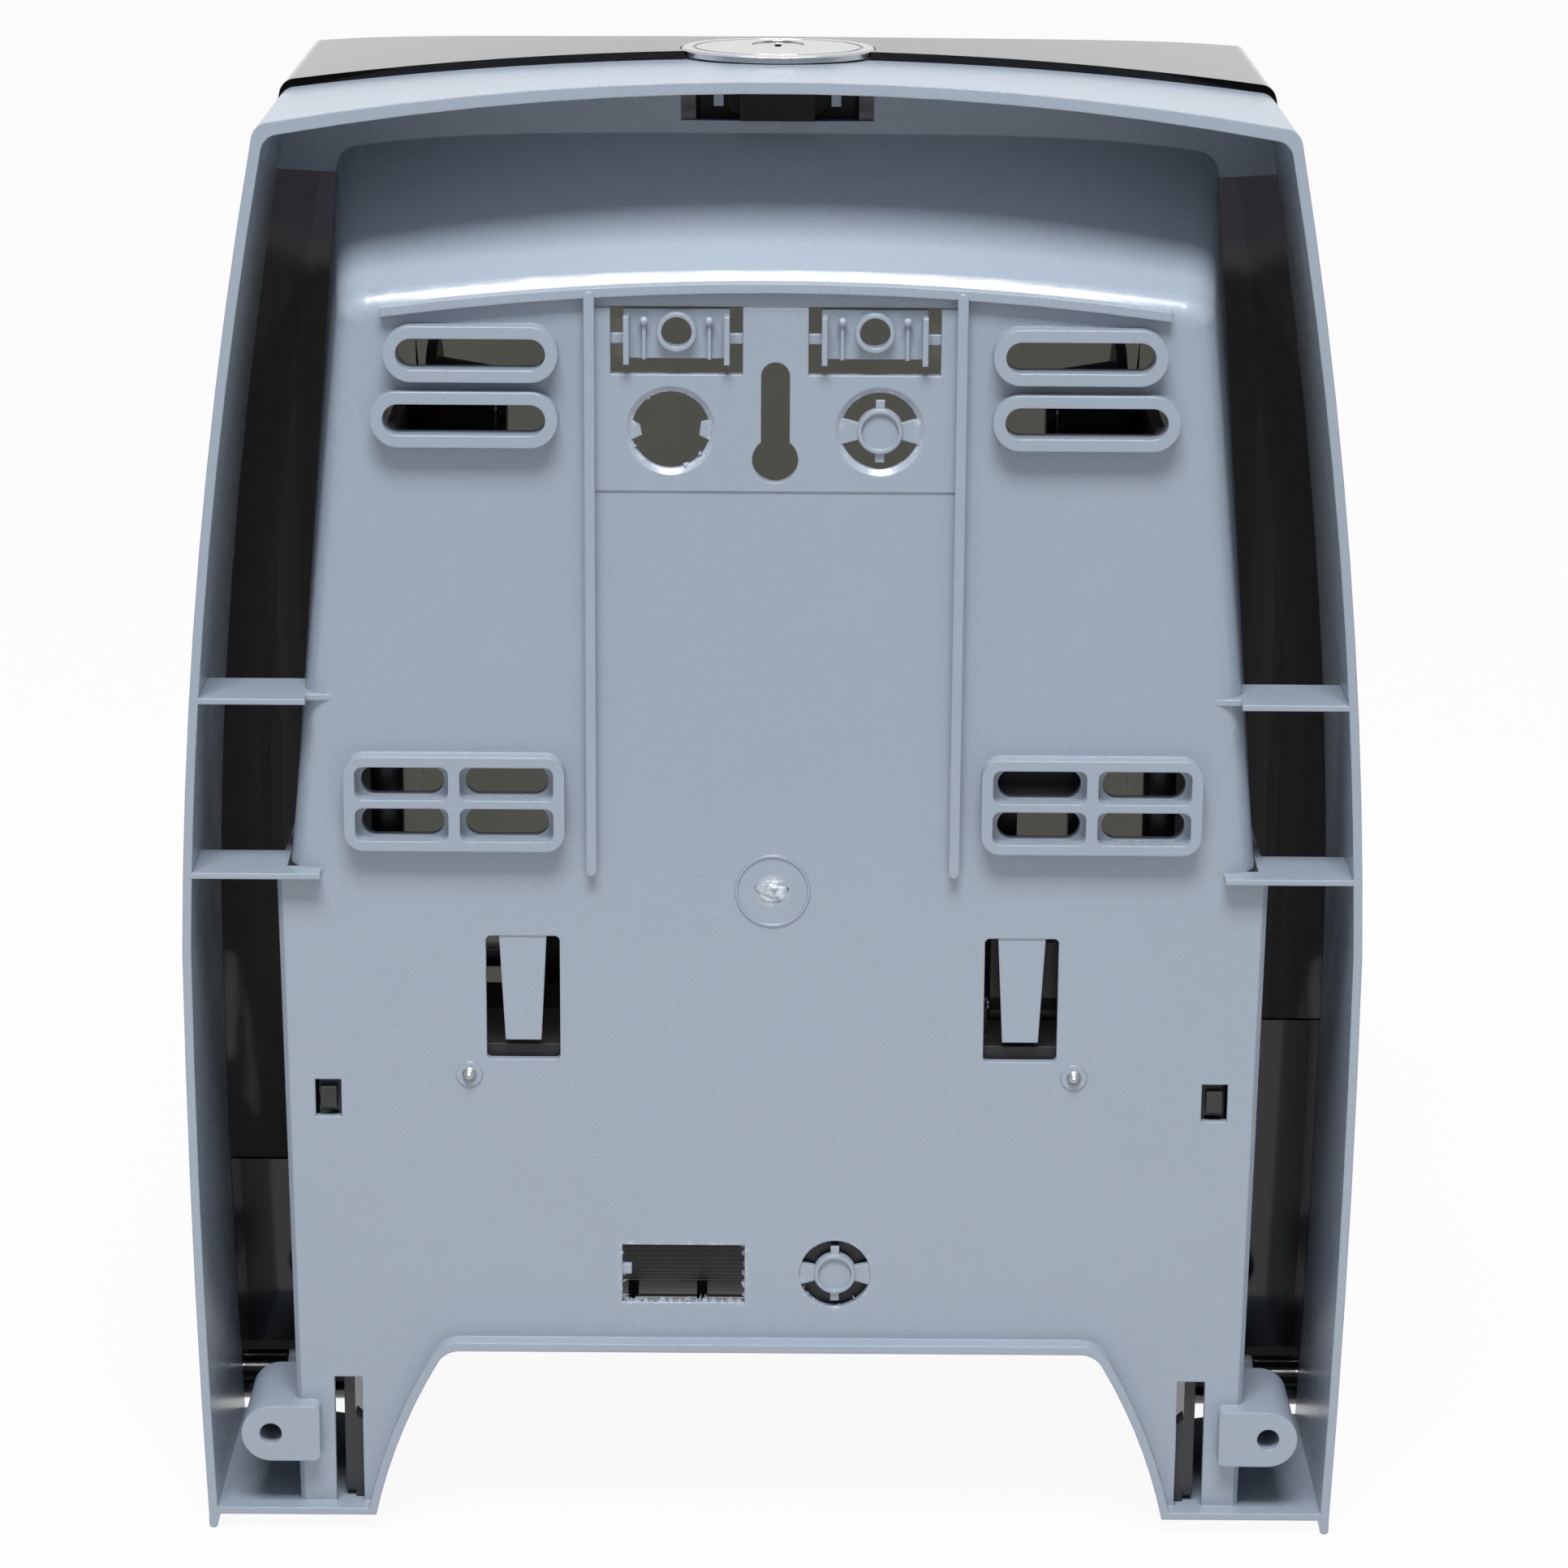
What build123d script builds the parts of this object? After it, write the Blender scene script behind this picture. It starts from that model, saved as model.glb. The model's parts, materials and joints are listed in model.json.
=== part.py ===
# Hard roll towel dispenser for a washroom wall, in millimetres.
# +Z is up, the front faces -Y and the wall is the plane Y = 0.
# The origin lies on the wall, midway between the two upper fixing slots.
# Most sizes are given as a depth in front of the wall and a height above the origin.
# Left and right are those of a person who stands in front of the dispenser.

import os
from math import atan2, cos, degrees, hypot, pi, radians, sin

from build123d import *

os.makedirs("parts", exist_ok=True)

# Overall size
width = 320.8
height = 409.7
depth = 259.1

# Clearances
running_gap = 0.05      # radial, a shaft in its bush or a screw in its hole
seat_gap = 0.3          # between flat faces of separate pieces
seam_gap = 0.5          # between the cover and the housing

# Housing outline, seen from the front
top_z = 74.2            # crown of the cover above the upper fixing slots
cover_proud = 2.2       # the cover's crown stands above the housing's
skirt_tip = 4.2         # feet of the skirt below the floor
corner_inset = 24.8     # how far the top corners are inside the widest point
corner_drop = 12.0
corner_radius = 5.0
shoulder_rise = 166.0   # widest point above the floor
foot_inset = 2.8
wall = 2.4
top_wall = 3.2
floor_wall = 2.0
seam_mid = 46.0         # depth of the seam at the middle of the top
seam_side = 70.0        # and at the corners and down the sides

tip_z = top_z - height
floor_z = tip_z + skirt_tip
housing_top = top_z - cover_proud
half_width = width / 2
corner_x = half_width - corner_inset
corner_z = housing_top - corner_drop
foot_x = half_width - foot_inset

# Back pan of the housing
plate_depth = 5.0       # the plate stands clear of the wall
plate_wall = 2.6
lip_mid_z = 19.0        # where the sloping bowl meets the plate
lip_end_z = 12.0
lip_half = 104.0
lip_proud = 2.8
shelf_rise = 187.8      # step between the upper and the lower pan, above the floor
pan_top_half = 115.0    # half width of the upper pan at the lip
pan_foot_half = 131.0   # and at the shelf
pan_flare = 5.0         # the side walls lean out as they go forward
mouth_reach = 72.0      # depth at which the pan's front section is given
mouth_half = 120.5
mouth_mid_z = 78.0
mouth_end_z = 51.0
mouth_radius = 9.0
pillar_radius = 8.5
box_top_half = 134.8    # half width of the lower pan
box_foot_half = 132.2
rib_rise = 236.7        # rib across each side channel
web = 1.6               # thickness of that rib and of the shelf
web_depth = 22.0
band_wall = 3.0
band_low_z = 38.5

# Arch at the foot, where the towel hangs
arch_top = 49.7         # above the floor
arch_foot_half = 110.5
arch_bow_half = 104.8
arch_bow_rise = 20.0
arch_top_half = 90.5
arch_radius = 7.0
arch_wall = 2.4

# Openings and details of the back plate
slot_half = (80.2, 82.1)        # middles of the upper and second slots
slot_long = (39.4, 43.0)
slot_drop = 17.5                # second row of slots below the first
slot_high = 8.3
collar_wall = 3.3
vent_half = 86.0                # middles of the four-slot frames
vent_z = -123.0
vent_pitch = (28.3, 11.5)
vent_slot = (22.5, 8.1)
vent_pocket = (25.2, 9.2)
vent_frame = (59.6, 26.4)
vent_round = 5.2
rib_half = 49.1                 # two upright ribs
rib_wide = 2.8
rib_proud = 3.0
window_half = 26.1              # knock-out windows at the top
window_z = 3.3
window_size = (34.9, 18.2)
bush_z = 5.9
bush_radius = 4.0
knockout_half = 27.7            # round knock-outs below them
knockout_z = -20.9
knockout_radius = 10.35
rim_width = 1.6
keyhole_z = -28.7
keyhole_radius = 6.1
keyhole_neck = 7.6
keyhole_top_z = -2.4
patch_foot_z = -37.2            # thicker field around the keyhole
patch_proud = 0.4
gate_rise = 183.0               # heights from here on are above the floor
gate_radius = 10.2
tongue_half = 68.1              # spring tongues that snap over the chassis
tongue_rise = 169.8
tongue_long = 30.0
tongue_wide = (13.0, 9.8)
tongue_slot = (20.2, 35.6)
boss_half = 83.1                # chassis screws
boss_rise = 129.7
boss_radius = 3.6
hook_half = 122.0               # small windows for the frame hooks
hook_rise = 122.6
hook_window = (7.2, 10.9)
foot_slot_half = 118.1          # slots for the feet of the side frames
foot_slot_wide = 7.8
foot_slot_top = 39.8
cable_half = 24.2               # opened rectangular knock-out at the foot
cable_rise = 71.3
cable_size = (34.0, 17.2)
low_knockout_x = -17.9
low_knockout_rise = 71.5
low_knockout_radius = 9.9
lug_half = 139.7                # wall lugs in the side channels
lug_rise = 24.5
lug_radius = 8.2
lug_inner_half = 125.9
lug_hole = 3.1
lug_reach = 32.0

bracket_wide = 28.0             # break-away brackets in the windows
bracket_z = (-1.6, 11.6)
bracket_wall = 1.8
cheek_wall = 1.5
cheek_z = (-2.7, 10.1)
tab_z = (2.3, 5.0)

# Latch opening in the band under the top
latch_window = (51.6, 9.7)      # width and height
latch_sill_z = 55.8
latch_guide_z = 60.4
latch_guide_half = 15.7
latch_guide = (2.6, 8.6)

# Cover and its hinge at the foot
cover_wall = 2.5
crown_depth = 76.0              # the cover's crown falls away in front of this
hinge_depth = 78.0
hinge_rise = 9.7
hinge_radius = 7.5
hinge_pin = 2.5
hinge_tab_half = 140.0
hinge_tab = 5.0
hinge_nose = 7.0
side_web = 2.0                  # upright webs inside the cover, beside the hinge
side_web_depth = 81.0
side_web_half = 139.0
side_web_top = {-1: 121.0, 1: 76.0}

# Roll arms and hubs
roll_depth = 125.0
roll_z = -43.2
arm_half = 105.25
arm_wall = 3.5
arm_pivot_depth = 16.0
arm_z = (-137.1, -27.9)
arm_knuckle = 4.5
arm_pin = 2.5
ear_wall = 4.0
ear_radius = 4.0
axle_radius = 5.0
hub_half = 82.0
hub_outer = 100.5
hub_flange = (24.0, 3.0)
hub_plug = (18.5, 16.0)

# Feed unit
chassis_wall = 2.5
chassis_half = 116.3
chassis_top = 137.8
chassis_foot = 50.3
frame_half = 116.6              # inner faces of the side frames
frame_wall = 3.0
frame_top = 139.3
frame_front = 190.0
frame_under = 17.3
frame_foot_front = 45.0
drum_depth = 100.0
drum_rise = 76.3
drum_radius = 45.4
drum_wall = 3.0
drum_half = 106.0
drum_end_wall = 4.0
grip_proud = 0.6
grip_long = 40.0
shaft_radius = 4.0
bush_outer = 8.0
bush_inner_half = 110.0
cam_radius = 48.0
cam_track = (25.5, 44.5)
knife_turn = 50.0               # the knife points this far below the front
knife_half = 100.0
knife_travel = 9.0
roller_radius = 4.0
pinch_depth = 137.5
pinch_rise = 121.0
pinch_radius = 12.0
pinch_long = 40.0
comb_depth = 58.0
comb_rise = 37.3
transfer_pivot = (61.0, 130.8)
transfer_bar_at = (104.3, 147.7)
follower_mid = -73.5
follower_wide = 27.0
follower_pivot = (22.0, 145.3)
tie_at = (176.0, 119.3)
knob_radius = 21.0
spring_case_radius = 26.0

# Lock and latch at the top
lock_depth = 60.0
lock_radius = 7.0
plate_mid_depth = 54.0
lock_oval = (52.0, 41.0)
lock_oval_wall = 1.9
case_half = 22.0
case_z = (48.5, 68.0)
case_depth = (49.2, 72.0)
bolt_half = 13.4
bolt_wall = 1.8
bolt_z = (56.3, 67.3)
bolt_travel = 4.0

screw_boss_half = 30.0
screw_flange_z = 64.0
lock_screw_radius = 1.25
cylinder_foot_z = 63.0          # the arm of the bolt rises to this, less half a millimetre
bolt_nose_half = 10.0
bolt_nose_z = (56.2, 60.2)
bolt_upstand = 4.1
bolt_arm_half = 3.0
spring_depth = 54.5
cover_mouth_half = 125.0        # bottom opening of the cover
cover_mouth_long = 145.0
cover_mouth_mid = 132.5

# Smaller pieces of the feed unit
screw_radius = 1.75
screw_head = 3.5
end_screw_depth = 20.0
end_screw_rises = (121.3, 61.3)
tie_radius = 4.0
bush_flange = (11.0, 1.5)
cam_half = 110.4
cam_track_deep = 4.3
drum_slot = 10.0
grip_sunk = 1.2
grip_starts = (-100.0, -46.0, 6.0, 60.0)
shaft_left = 133.0
shaft_right = 135.0
knob_start = 122.0
knob_long = 15.0
knob_screw_radius = 2.0
spring_case_long = 13.0
knife_foot = 22.0               # radii in the drum
knife_shoulder = 38.0
knife_pin_at = 30.0
knife_wide = 7.0
knife_pin_radius = 3.0
blade_wall = 1.2
blade_root = 40.5
blade_tip = 43.5
tooth_count = 49
tooth_pitch = 198.0 / 49
pinch_half = 124.0
pinch_bush = 7.0
comb_half = 100.0
comb_peg = 3.0
comb_lean = 43.0
cheek_half = 111.5
chute_peg = 2.5
chute_pegs = ((160.0, 41.3), (130.0, 23.3))
transfer_half = 112.5
transfer_pin = 2.5
follower_pin_radius = 2.0
clip_half = hub_half - 1.3

shelf_z = floor_z + shelf_rise
rib_z = floor_z + rib_rise
hook_z = floor_z + hook_rise
boss_z = floor_z + boss_rise
drum_z = floor_z + drum_rise
pinch_z = floor_z + pinch_rise
plate_front = plate_depth + plate_wall
lug_z = floor_z + lug_rise
arch_top_z = floor_z + arch_top
hinge_z = floor_z + hinge_rise
bolt_arm_z = cylinder_foot_z - 2.5 - bolt_travel    # unlocked; turning the key lifts it by bolt_travel


def at(forward, up):
    """A point given by its depth and height, as a sketch on Plane.YZ sees it."""
    return (-forward, up)


def low(forward, up):
    """The same, with the height measured from the housing's floor."""
    return (-forward, floor_z + up)


def across(side, inner, outer):
    """The YZ plane from which a piece of the left (-1) or right (1) side is extruded towards +X."""
    return Plane.YZ.offset(min(side * inner, side * outer))


def outline(side_inset, top_inset, foot_z, crown=housing_top, rounding=corner_radius):
    """The dispenser's barrel-shaped front view, closed at the foot."""
    arch_z = crown - top_inset
    corner = (corner_x - side_inset, arch_z - corner_drop)
    widest = (half_width - side_inset, floor_z + shoulder_rise)
    foot = (foot_x - side_inset, foot_z)
    upper = (corner[0] + 0.706 * (widest[0] - corner[0]), corner[1] + 0.519 * (widest[1] - corner[1]))
    lower = (widest[0] - 0.15 * (widest[0] - foot[0]), widest[1] + 0.48 * (foot[1] - widest[1]))
    with BuildSketch() as view:
        with BuildLine():
            Line((-foot[0], foot[1]), foot)
            ThreePointArc(corner, (0, arch_z), (-corner[0], corner[1]))
            for side in (-1, 1):
                ThreePointArc((side * foot[0], foot[1]), (side * lower[0], lower[1]), (side * widest[0], widest[1]))
                ThreePointArc((side * widest[0], widest[1]), (side * upper[0], upper[1]), (side * corner[0], corner[1]))
        make_face()
        fillet(view.vertices().group_by(Axis.Y)[-1], radius=rounding)
    return view.sketch


def in_front_of_seam(shift):
    """Plan view of everything in front of the seam, moved forward by shift."""
    side = -(seam_side + shift)
    far = -2 * depth
    with BuildSketch() as plan:
        with BuildLine():
            Polyline((corner_x, side), (width, side), (width, far), (-width, far), (-width, side), (-corner_x, side))
            ThreePointArc((-corner_x, side), (0, -(seam_mid + shift)), (corner_x, side))
        make_face()
    return plan.sketch


def pan_section(half_top, half_foot, mid_z, end_z, foot_z):
    """The upper pan cut across: a trapezium with a bowed top."""
    with BuildSketch() as section:
        with BuildLine():
            Polyline((-half_top, end_z), (-half_foot, foot_z), (half_foot, foot_z), (half_top, end_z))
            ThreePointArc((half_top, end_z), (0, mid_z), (-half_top, end_z))
        make_face()
        fillet(section.vertices().group_by(Axis.Y)[-1], radius=mouth_radius)
    return section.sketch


def upper_pan(inset, rounding):
    """The upper pan as a solid, flaring from the plate to its mouth."""
    foot_z = shelf_z - web / 2 + (web if inset else 0)
    with BuildPart() as form:
        with BuildSketch(Plane.XZ.offset(plate_depth + inset)):
            add(pan_section(pan_top_half - inset, pan_foot_half - inset, lip_mid_z - inset, lip_end_z - inset,
                            foot_z))
        with BuildSketch(Plane.XZ.offset(mouth_reach)):
            add(pan_section(mouth_half - inset, pan_foot_half + pan_flare - inset, mouth_mid_z - inset,
                            mouth_end_z - inset, foot_z))
        loft(ruled=True)
        back = form.faces().sort_by(Axis.Y)[-1]
        sides = back.edges().filter_by(GeomType.LINE).sort_by(Axis.X)
        fillet([sides[0], sides[-1]], radius=rounding)
    return form.part


def lower_pan(inset):
    """The lower pan as a solid box with sides that draw in towards the foot."""
    top = shelf_z + web / 2 if inset else shelf_z - web / 2
    foot = floor_z + (floor_wall if inset else 0)
    with BuildPart() as form:
        with BuildSketch(Plane.XZ.offset(plate_depth + inset)):
            with BuildLine():
                Polyline((-box_top_half + inset, top), (-box_foot_half + inset, foot),
                         (box_foot_half - inset, foot), (box_top_half - inset, top), close=True)
            make_face()
        extrude(amount=mouth_reach - plate_depth - inset)
        if not inset:
            back = form.faces().sort_by(Axis.Y)[-1]
            sides = back.edges().sort_by(Axis.X)
            chamfer([sides[0], sides[-1]], length=1.4)
    return form.part


def arch(grow):
    """The arch at the foot, grown outward by the thickness of its wall."""
    with BuildSketch() as view:
        with BuildLine():
            Polyline((arch_foot_half, floor_z), (arch_foot_half, floor_z - 20), (-arch_foot_half, floor_z - 20),
                     (-arch_foot_half, floor_z))
            for side in (-1, 1):
                ThreePointArc((side * arch_foot_half, floor_z), (side * arch_bow_half, floor_z + arch_bow_rise),
                              (side * arch_top_half, arch_top_z))
            Line((-arch_top_half, arch_top_z), (arch_top_half, arch_top_z))
        make_face()
        fillet(view.vertices().group_by(Axis.Y)[-1], radius=arch_radius)
        if grow:
            offset(amount=grow)
            with Locations((0, floor_z - height / 2)):
                Rectangle(width, height, mode=Mode.SUBTRACT)
    return view.sketch


def cylinder_x(start_x, end_x, forward, up, radius, bore=0.0):
    """A round bar or tube that lies along X."""
    with BuildPart() as piece:
        with BuildSketch(Plane.YZ.offset(min(start_x, end_x))):
            with Locations(at(forward, up)):
                Circle(radius)
                if bore:
                    Circle(bore, mode=Mode.SUBTRACT)
        extrude(amount=abs(end_x - start_x))
    return piece.part


def drum_at(radius):
    """The point of the knife's line at a radius from the drum's axis, as a sketch on Plane.YZ sees it."""
    turn = radians(knife_turn)
    return (-drum_depth - radius * cos(turn), drum_z - radius * sin(turn))


def link_view(start, end, start_radius, end_radius):
    """Side view of a flat link between two round ends, each end a depth and a height above the floor."""
    run = atan2(end[1] - start[1], start[0] - end[0])
    with BuildSketch(Plane.YZ) as view:
        with Locations(low(start[0], start[1])):
            Circle(start_radius)
        with Locations(low(end[0], end[1])):
            Circle(end_radius)
        with BuildLine():
            corners = []
            for point, radius, turn in ((start, start_radius, 1), (end, end_radius, 1), (end, end_radius, -1),
                                        (start, start_radius, -1)):
                corners.append((-point[0] - turn * radius * sin(run),
                                floor_z + point[1] + turn * radius * cos(run)))
            Polyline(corners, close=True)
        make_face()
    return Plane.YZ.to_local_coords(view.sketch)


def window_bracket(middle):
    """A break-away bracket: a plate with a bush between two cheeks, held by a tab at each end."""
    with BuildPart() as bracket:
        with BuildSketch(Plane.XZ.offset(plate_depth + 0.6)):
            with Locations((middle, (bracket_z[0] + bracket_z[1]) / 2)):
                Rectangle(bracket_wide, bracket_z[1] - bracket_z[0])
            for side in (-1, 1):
                with Locations((middle + side * (bracket_wide + window_size[0]) / 4, (tab_z[0] + tab_z[1]) / 2)):
                    Rectangle((window_size[0] - bracket_wide) / 2 + 1, tab_z[1] - tab_z[0])
        extrude(amount=bracket_wall)
        with BuildSketch(Plane.XZ.offset(1.5)):
            for side in (-1, 1):
                with Locations((middle + side * (bracket_wide - cheek_wall) / 2, (cheek_z[0] + cheek_z[1]) / 2)):
                    Rectangle(cheek_wall, cheek_z[1] - cheek_z[0])
        extrude(amount=plate_depth)
        with BuildSketch(Plane.XZ.offset(2.4)):
            with Locations((middle, bush_z)):
                Circle(bush_radius + 1.2)
        extrude(amount=plate_depth - 1)
        with BuildSketch(Plane.XZ.offset(3.8)):
            for side in (-1, 1):
                with Locations((middle + side * 8.6, bracket_z[0] + 5)):
                    Rectangle(1.0, 10)
        extrude(amount=2)
        with Locations((middle - 8.6, -3.9, 8.6), (middle + 8.6, -3.9, 8.6)):
            Sphere(1.2)
        with BuildSketch(Plane.XZ):
            with Locations((middle, bush_z)):
                Circle(bush_radius)
        extrude(amount=plate_front + 1, mode=Mode.SUBTRACT)
    return bracket.part


def knock_out(middle_x, middle_z, radius):
    """A round knock-out: a ringed disc held by two wide spokes, with a stub above and below."""
    with BuildPart() as disc:
        with BuildSketch(Plane.XZ.offset(plate_depth + 0.4)):
            with Locations((middle_x, middle_z)):
                Circle(0.6 * radius)
            for side in (-1, 1):
                with BuildLine():
                    Polyline((middle_x + side * 0.5 * radius, middle_z + 0.2 * radius),
                             (middle_x + side * (radius + 0.5), middle_z + 0.36 * radius),
                             (middle_x + side * (radius + 0.5), middle_z - 0.36 * radius),
                             (middle_x + side * 0.5 * radius, middle_z - 0.2 * radius), close=True)
                make_face()
                with Locations((middle_x, middle_z + side * 0.66 * radius)):
                    Rectangle(2.4, 0.3 * radius)
        extrude(amount=1.8)
        with BuildSketch(Plane.XZ.offset(plate_depth - 0.5)):
            with Locations((middle_x, middle_z)):
                Circle(0.6 * radius - 0.3)
                Circle(0.6 * radius - 1.3, mode=Mode.SUBTRACT)
        extrude(amount=1.2)
    return disc.part


def lug_face(side):
    """Rear view of a wall lug: square towards the plate, round towards the skirt."""
    with BuildSketch() as view:
        with Locations((side * lug_half, lug_z)):
            Circle(lug_radius)
        with Locations((side * (lug_half + lug_inner_half) / 2, lug_z)):
            Rectangle(lug_half - lug_inner_half, 2 * lug_radius)
        inner = view.vertices().sort_by(Axis.X)
        fillet(inner[-2:] if side < 0 else inner[:2], radius=1.6)
    return view.sketch


def side_frame(side):
    """A side frame of the feed unit, with its foot, hook and spring lug."""
    rear = plate_front + seat_gap
    foot = floor_wall + seat_gap
    with BuildPart() as frame:
        with BuildSketch(across(side, frame_half, frame_half + frame_wall)) as view:
            with BuildLine():
                Polyline(low(rear, foot), low(rear, frame_top - 6), low(50, frame_top), low(165, frame_top),
                         low(frame_front, frame_top - 30), low(frame_front, frame_under + 14),
                         low(160, frame_under), low(frame_foot_front, frame_under), low(frame_foot_front, foot),
                         close=True)
            make_face()
            fillet(view.vertices(), radius=4)
            with Locations(low(drum_depth, drum_rise)):
                Circle(bush_outer + running_gap, mode=Mode.SUBTRACT)
            with Locations(low(pinch_depth, pinch_rise), low(pinch_depth, pinch_rise + 3)):
                Circle(pinch_bush + running_gap, mode=Mode.SUBTRACT)
            with Locations(low(tie_at[0], tie_at[1])):
                Circle(tie_radius + running_gap, mode=Mode.SUBTRACT)
            with Locations(low(transfer_pivot[0], transfer_pivot[1])):
                Circle(transfer_pin + running_gap, mode=Mode.SUBTRACT)
            with Locations(low(comb_depth, comb_rise)):
                Circle(comb_peg + running_gap, mode=Mode.SUBTRACT)
            for forward, up in chute_pegs:
                with Locations(low(forward, up)):
                    Circle(chute_peg + running_gap, mode=Mode.SUBTRACT)
            for screw_rise in end_screw_rises:
                with Locations(low(end_screw_depth, screw_rise)):
                    Circle(screw_radius + running_gap, mode=Mode.SUBTRACT)
            with Locations(low(38, 90), low(163, 80)):
                Circle(11, mode=Mode.SUBTRACT)
        extrude(amount=frame_wall)
        # Foot pad with a bevelled step, seen through the foot slot
        with BuildSketch(Plane.XZ.offset(rear)):
            with BuildLine():
                Polyline((side * (frame_half - 2), floor_z + foot), (side * (frame_half - 2), floor_z + 25.3),
                         (side * (frame_half + 0.2), floor_z + 27.5), (side * (frame_half + 0.2), floor_z + foot),
                         close=True)
            make_face()
        extrude(amount=6)
        # Hook through the plate's window, and the lug above the pinch roller's spring
        with BuildSketch(Plane.XZ.offset(rear)):
            with Locations((side * (frame_half + frame_wall + 2.2), hook_z)):
                Rectangle(5, 9)
        extrude(amount=6)
        with BuildSketch(Plane.XZ.offset(plate_depth + 0.6)):
            with Locations((side * (frame_half + frame_wall + 2.4), hook_z)):
                Rectangle(4.4, 6)
        extrude(amount=4)
        with BuildSketch(Plane.XY.offset(floor_z + frame_top - 3)):
            with Locations((side * (frame_half + frame_wall + 3.5), -pinch_depth)):
                RectangleRounded(8, 11, 2)
        extrude(amount=3)
    return frame.part


def roll_arm(side):
    """A roll arm: an upright knuckle, a pierced gusset and the axle of the hub."""
    with BuildPart() as arm:
        with BuildSketch(across(side, arm_half - arm_wall / 2, arm_half + arm_wall / 2)) as view:
            with BuildLine():
                Polyline(at(arm_pivot_depth, arm_z[1] - 2), at(arm_pivot_depth, arm_z[0] + 2),
                         at(arm_pivot_depth + 14, arm_z[0] + 2), at(roll_depth - 10, roll_z - 15),
                         at(roll_depth, roll_z), at(roll_depth - 4, roll_z + 14.4), close=True)
            make_face()
            with Locations(at(roll_depth, roll_z)):
                Circle(15)
            with BuildLine():
                Polyline(at(34, arm_z[1] - 16), at(34, arm_z[0] + 28), at(96, roll_z - 12), at(96, roll_z + 1),
                         close=True)
            make_face(mode=Mode.SUBTRACT)
        extrude(amount=arm_wall)
        with BuildSketch(Plane.XY.offset(arm_z[0])):
            with Locations((side * arm_half, -arm_pivot_depth)):
                Circle(arm_knuckle)
        extrude(amount=arm_z[1] - arm_z[0])
        with BuildSketch(Plane.XY.offset(arm_z[0] - 1)):
            with Locations((side * arm_half, -arm_pivot_depth)):
                Circle(arm_pin + running_gap)
        extrude(amount=arm_z[1] - arm_z[0] + 2, mode=Mode.SUBTRACT)
        # Shoulder and axle of the hub, grooved for its clip
        shoulder = hub_outer + seat_gap
        add(cylinder_x(side * shoulder, side * arm_half, roll_depth, roll_z, axle_radius + 4))
        add(cylinder_x(side * (clip_half - 2.6), side * arm_half, roll_depth, roll_z, axle_radius))
        add(cylinder_x(side * (clip_half - 0.1), side * (clip_half + 1.1), roll_depth, roll_z, axle_radius + 1,
                       axle_radius - 1), mode=Mode.SUBTRACT)
    return arm.part


def roll_hub(side):
    """A roll hub: a flange and a tapered plug for the core of the roll."""
    with BuildPart() as hub:
        add(cylinder_x(side * (hub_outer - hub_flange[1]), side * hub_outer, roll_depth, roll_z, hub_flange[0]))
        with BuildSketch(Plane.YZ.offset(side * (hub_outer - hub_flange[1]))):
            with Locations(at(roll_depth, roll_z)):
                Circle(hub_plug[0])
        with BuildSketch(Plane.YZ.offset(side * hub_half)):
            with Locations(at(roll_depth, roll_z)):
                Circle(hub_plug[1])
        loft()
        # Hollow plug with four ribs around the bearing
        with BuildSketch(across(side, hub_half, hub_outer - hub_flange[1])):
            with Locations(at(roll_depth, roll_z)):
                Circle(hub_plug[1] - 2)
                Circle(axle_radius + 2.4, mode=Mode.SUBTRACT)
                Rectangle(2, 2 * hub_plug[0], mode=Mode.SUBTRACT)
                Rectangle(2 * hub_plug[0], 2, mode=Mode.SUBTRACT)
        extrude(amount=hub_outer - hub_flange[1] - hub_half, mode=Mode.SUBTRACT)
        add(cylinder_x(side * (hub_half - 1), side * (hub_outer + 1), roll_depth, roll_z,
                       axle_radius + running_gap), mode=Mode.SUBTRACT)
    return hub.part


def cover_form(inset):
    """The cover's outer shape, or its hollow when inset: front view, side view and plan taken together."""
    turn = hinge_radius - inset
    with BuildPart() as form:
        with BuildSketch(Plane.XZ):
            add(outline(inset, inset, floor_z, crown=top_z, rounding=corner_radius - inset / 2))
        extrude(amount=depth + 10)
        with BuildSketch(Plane.YZ):
            with BuildLine():
                Line(at(20, hinge_z), at(20, top_z - inset))
                Line(at(20, top_z - inset), at(crown_depth, top_z - inset))
                Spline(at(crown_depth, top_z - inset), at(depth - 42 - 0.6 * inset, top_z - 38 - 0.8 * inset),
                       at(depth - inset, top_z - 154), tangents=((-1, -0.14), (0, -1)))
                Spline(at(depth - inset, top_z - 154), at(depth - 13 - inset, floor_z + 81),
                       at(depth - 45 - 0.9 * inset, hinge_z - turn), tangents=((0, -1), (0.5, -0.86)))
                Line(at(depth - 45 - 0.9 * inset, hinge_z - turn), at(hinge_depth, hinge_z - turn))
                ThreePointArc(at(hinge_depth, hinge_z - turn),
                              at(hinge_depth - turn * 0.7071, hinge_z - turn * 0.7071),
                              at(hinge_depth - turn, hinge_z))
                Line(at(hinge_depth - turn, hinge_z), at(20, hinge_z))
            make_face()
        extrude(amount=width, both=True, mode=Mode.INTERSECT)
        with BuildSketch(Plane.XY.offset(tip_z - 30)):
            with BuildLine():
                # The right half, which is then mirrored
                side = (half_width + 0.6 - inset, 69 - depth)
                Polyline((0, 0), (half_width + 10, 0), (half_width + 10, 69 - depth), side)
                Spline(side, (half_width - 8 - 0.9 * inset, 36 + 0.4 * inset - depth),
                       (half_width - 38 - 0.4 * inset, 13 + 0.9 * inset - depth), (0, inset - depth),
                       tangents=((0, -1), (-1, 0)))
                mirror(about=Plane.YZ)
            make_face()
        extrude(amount=height + 80, mode=Mode.INTERSECT)
    return form.part


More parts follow.
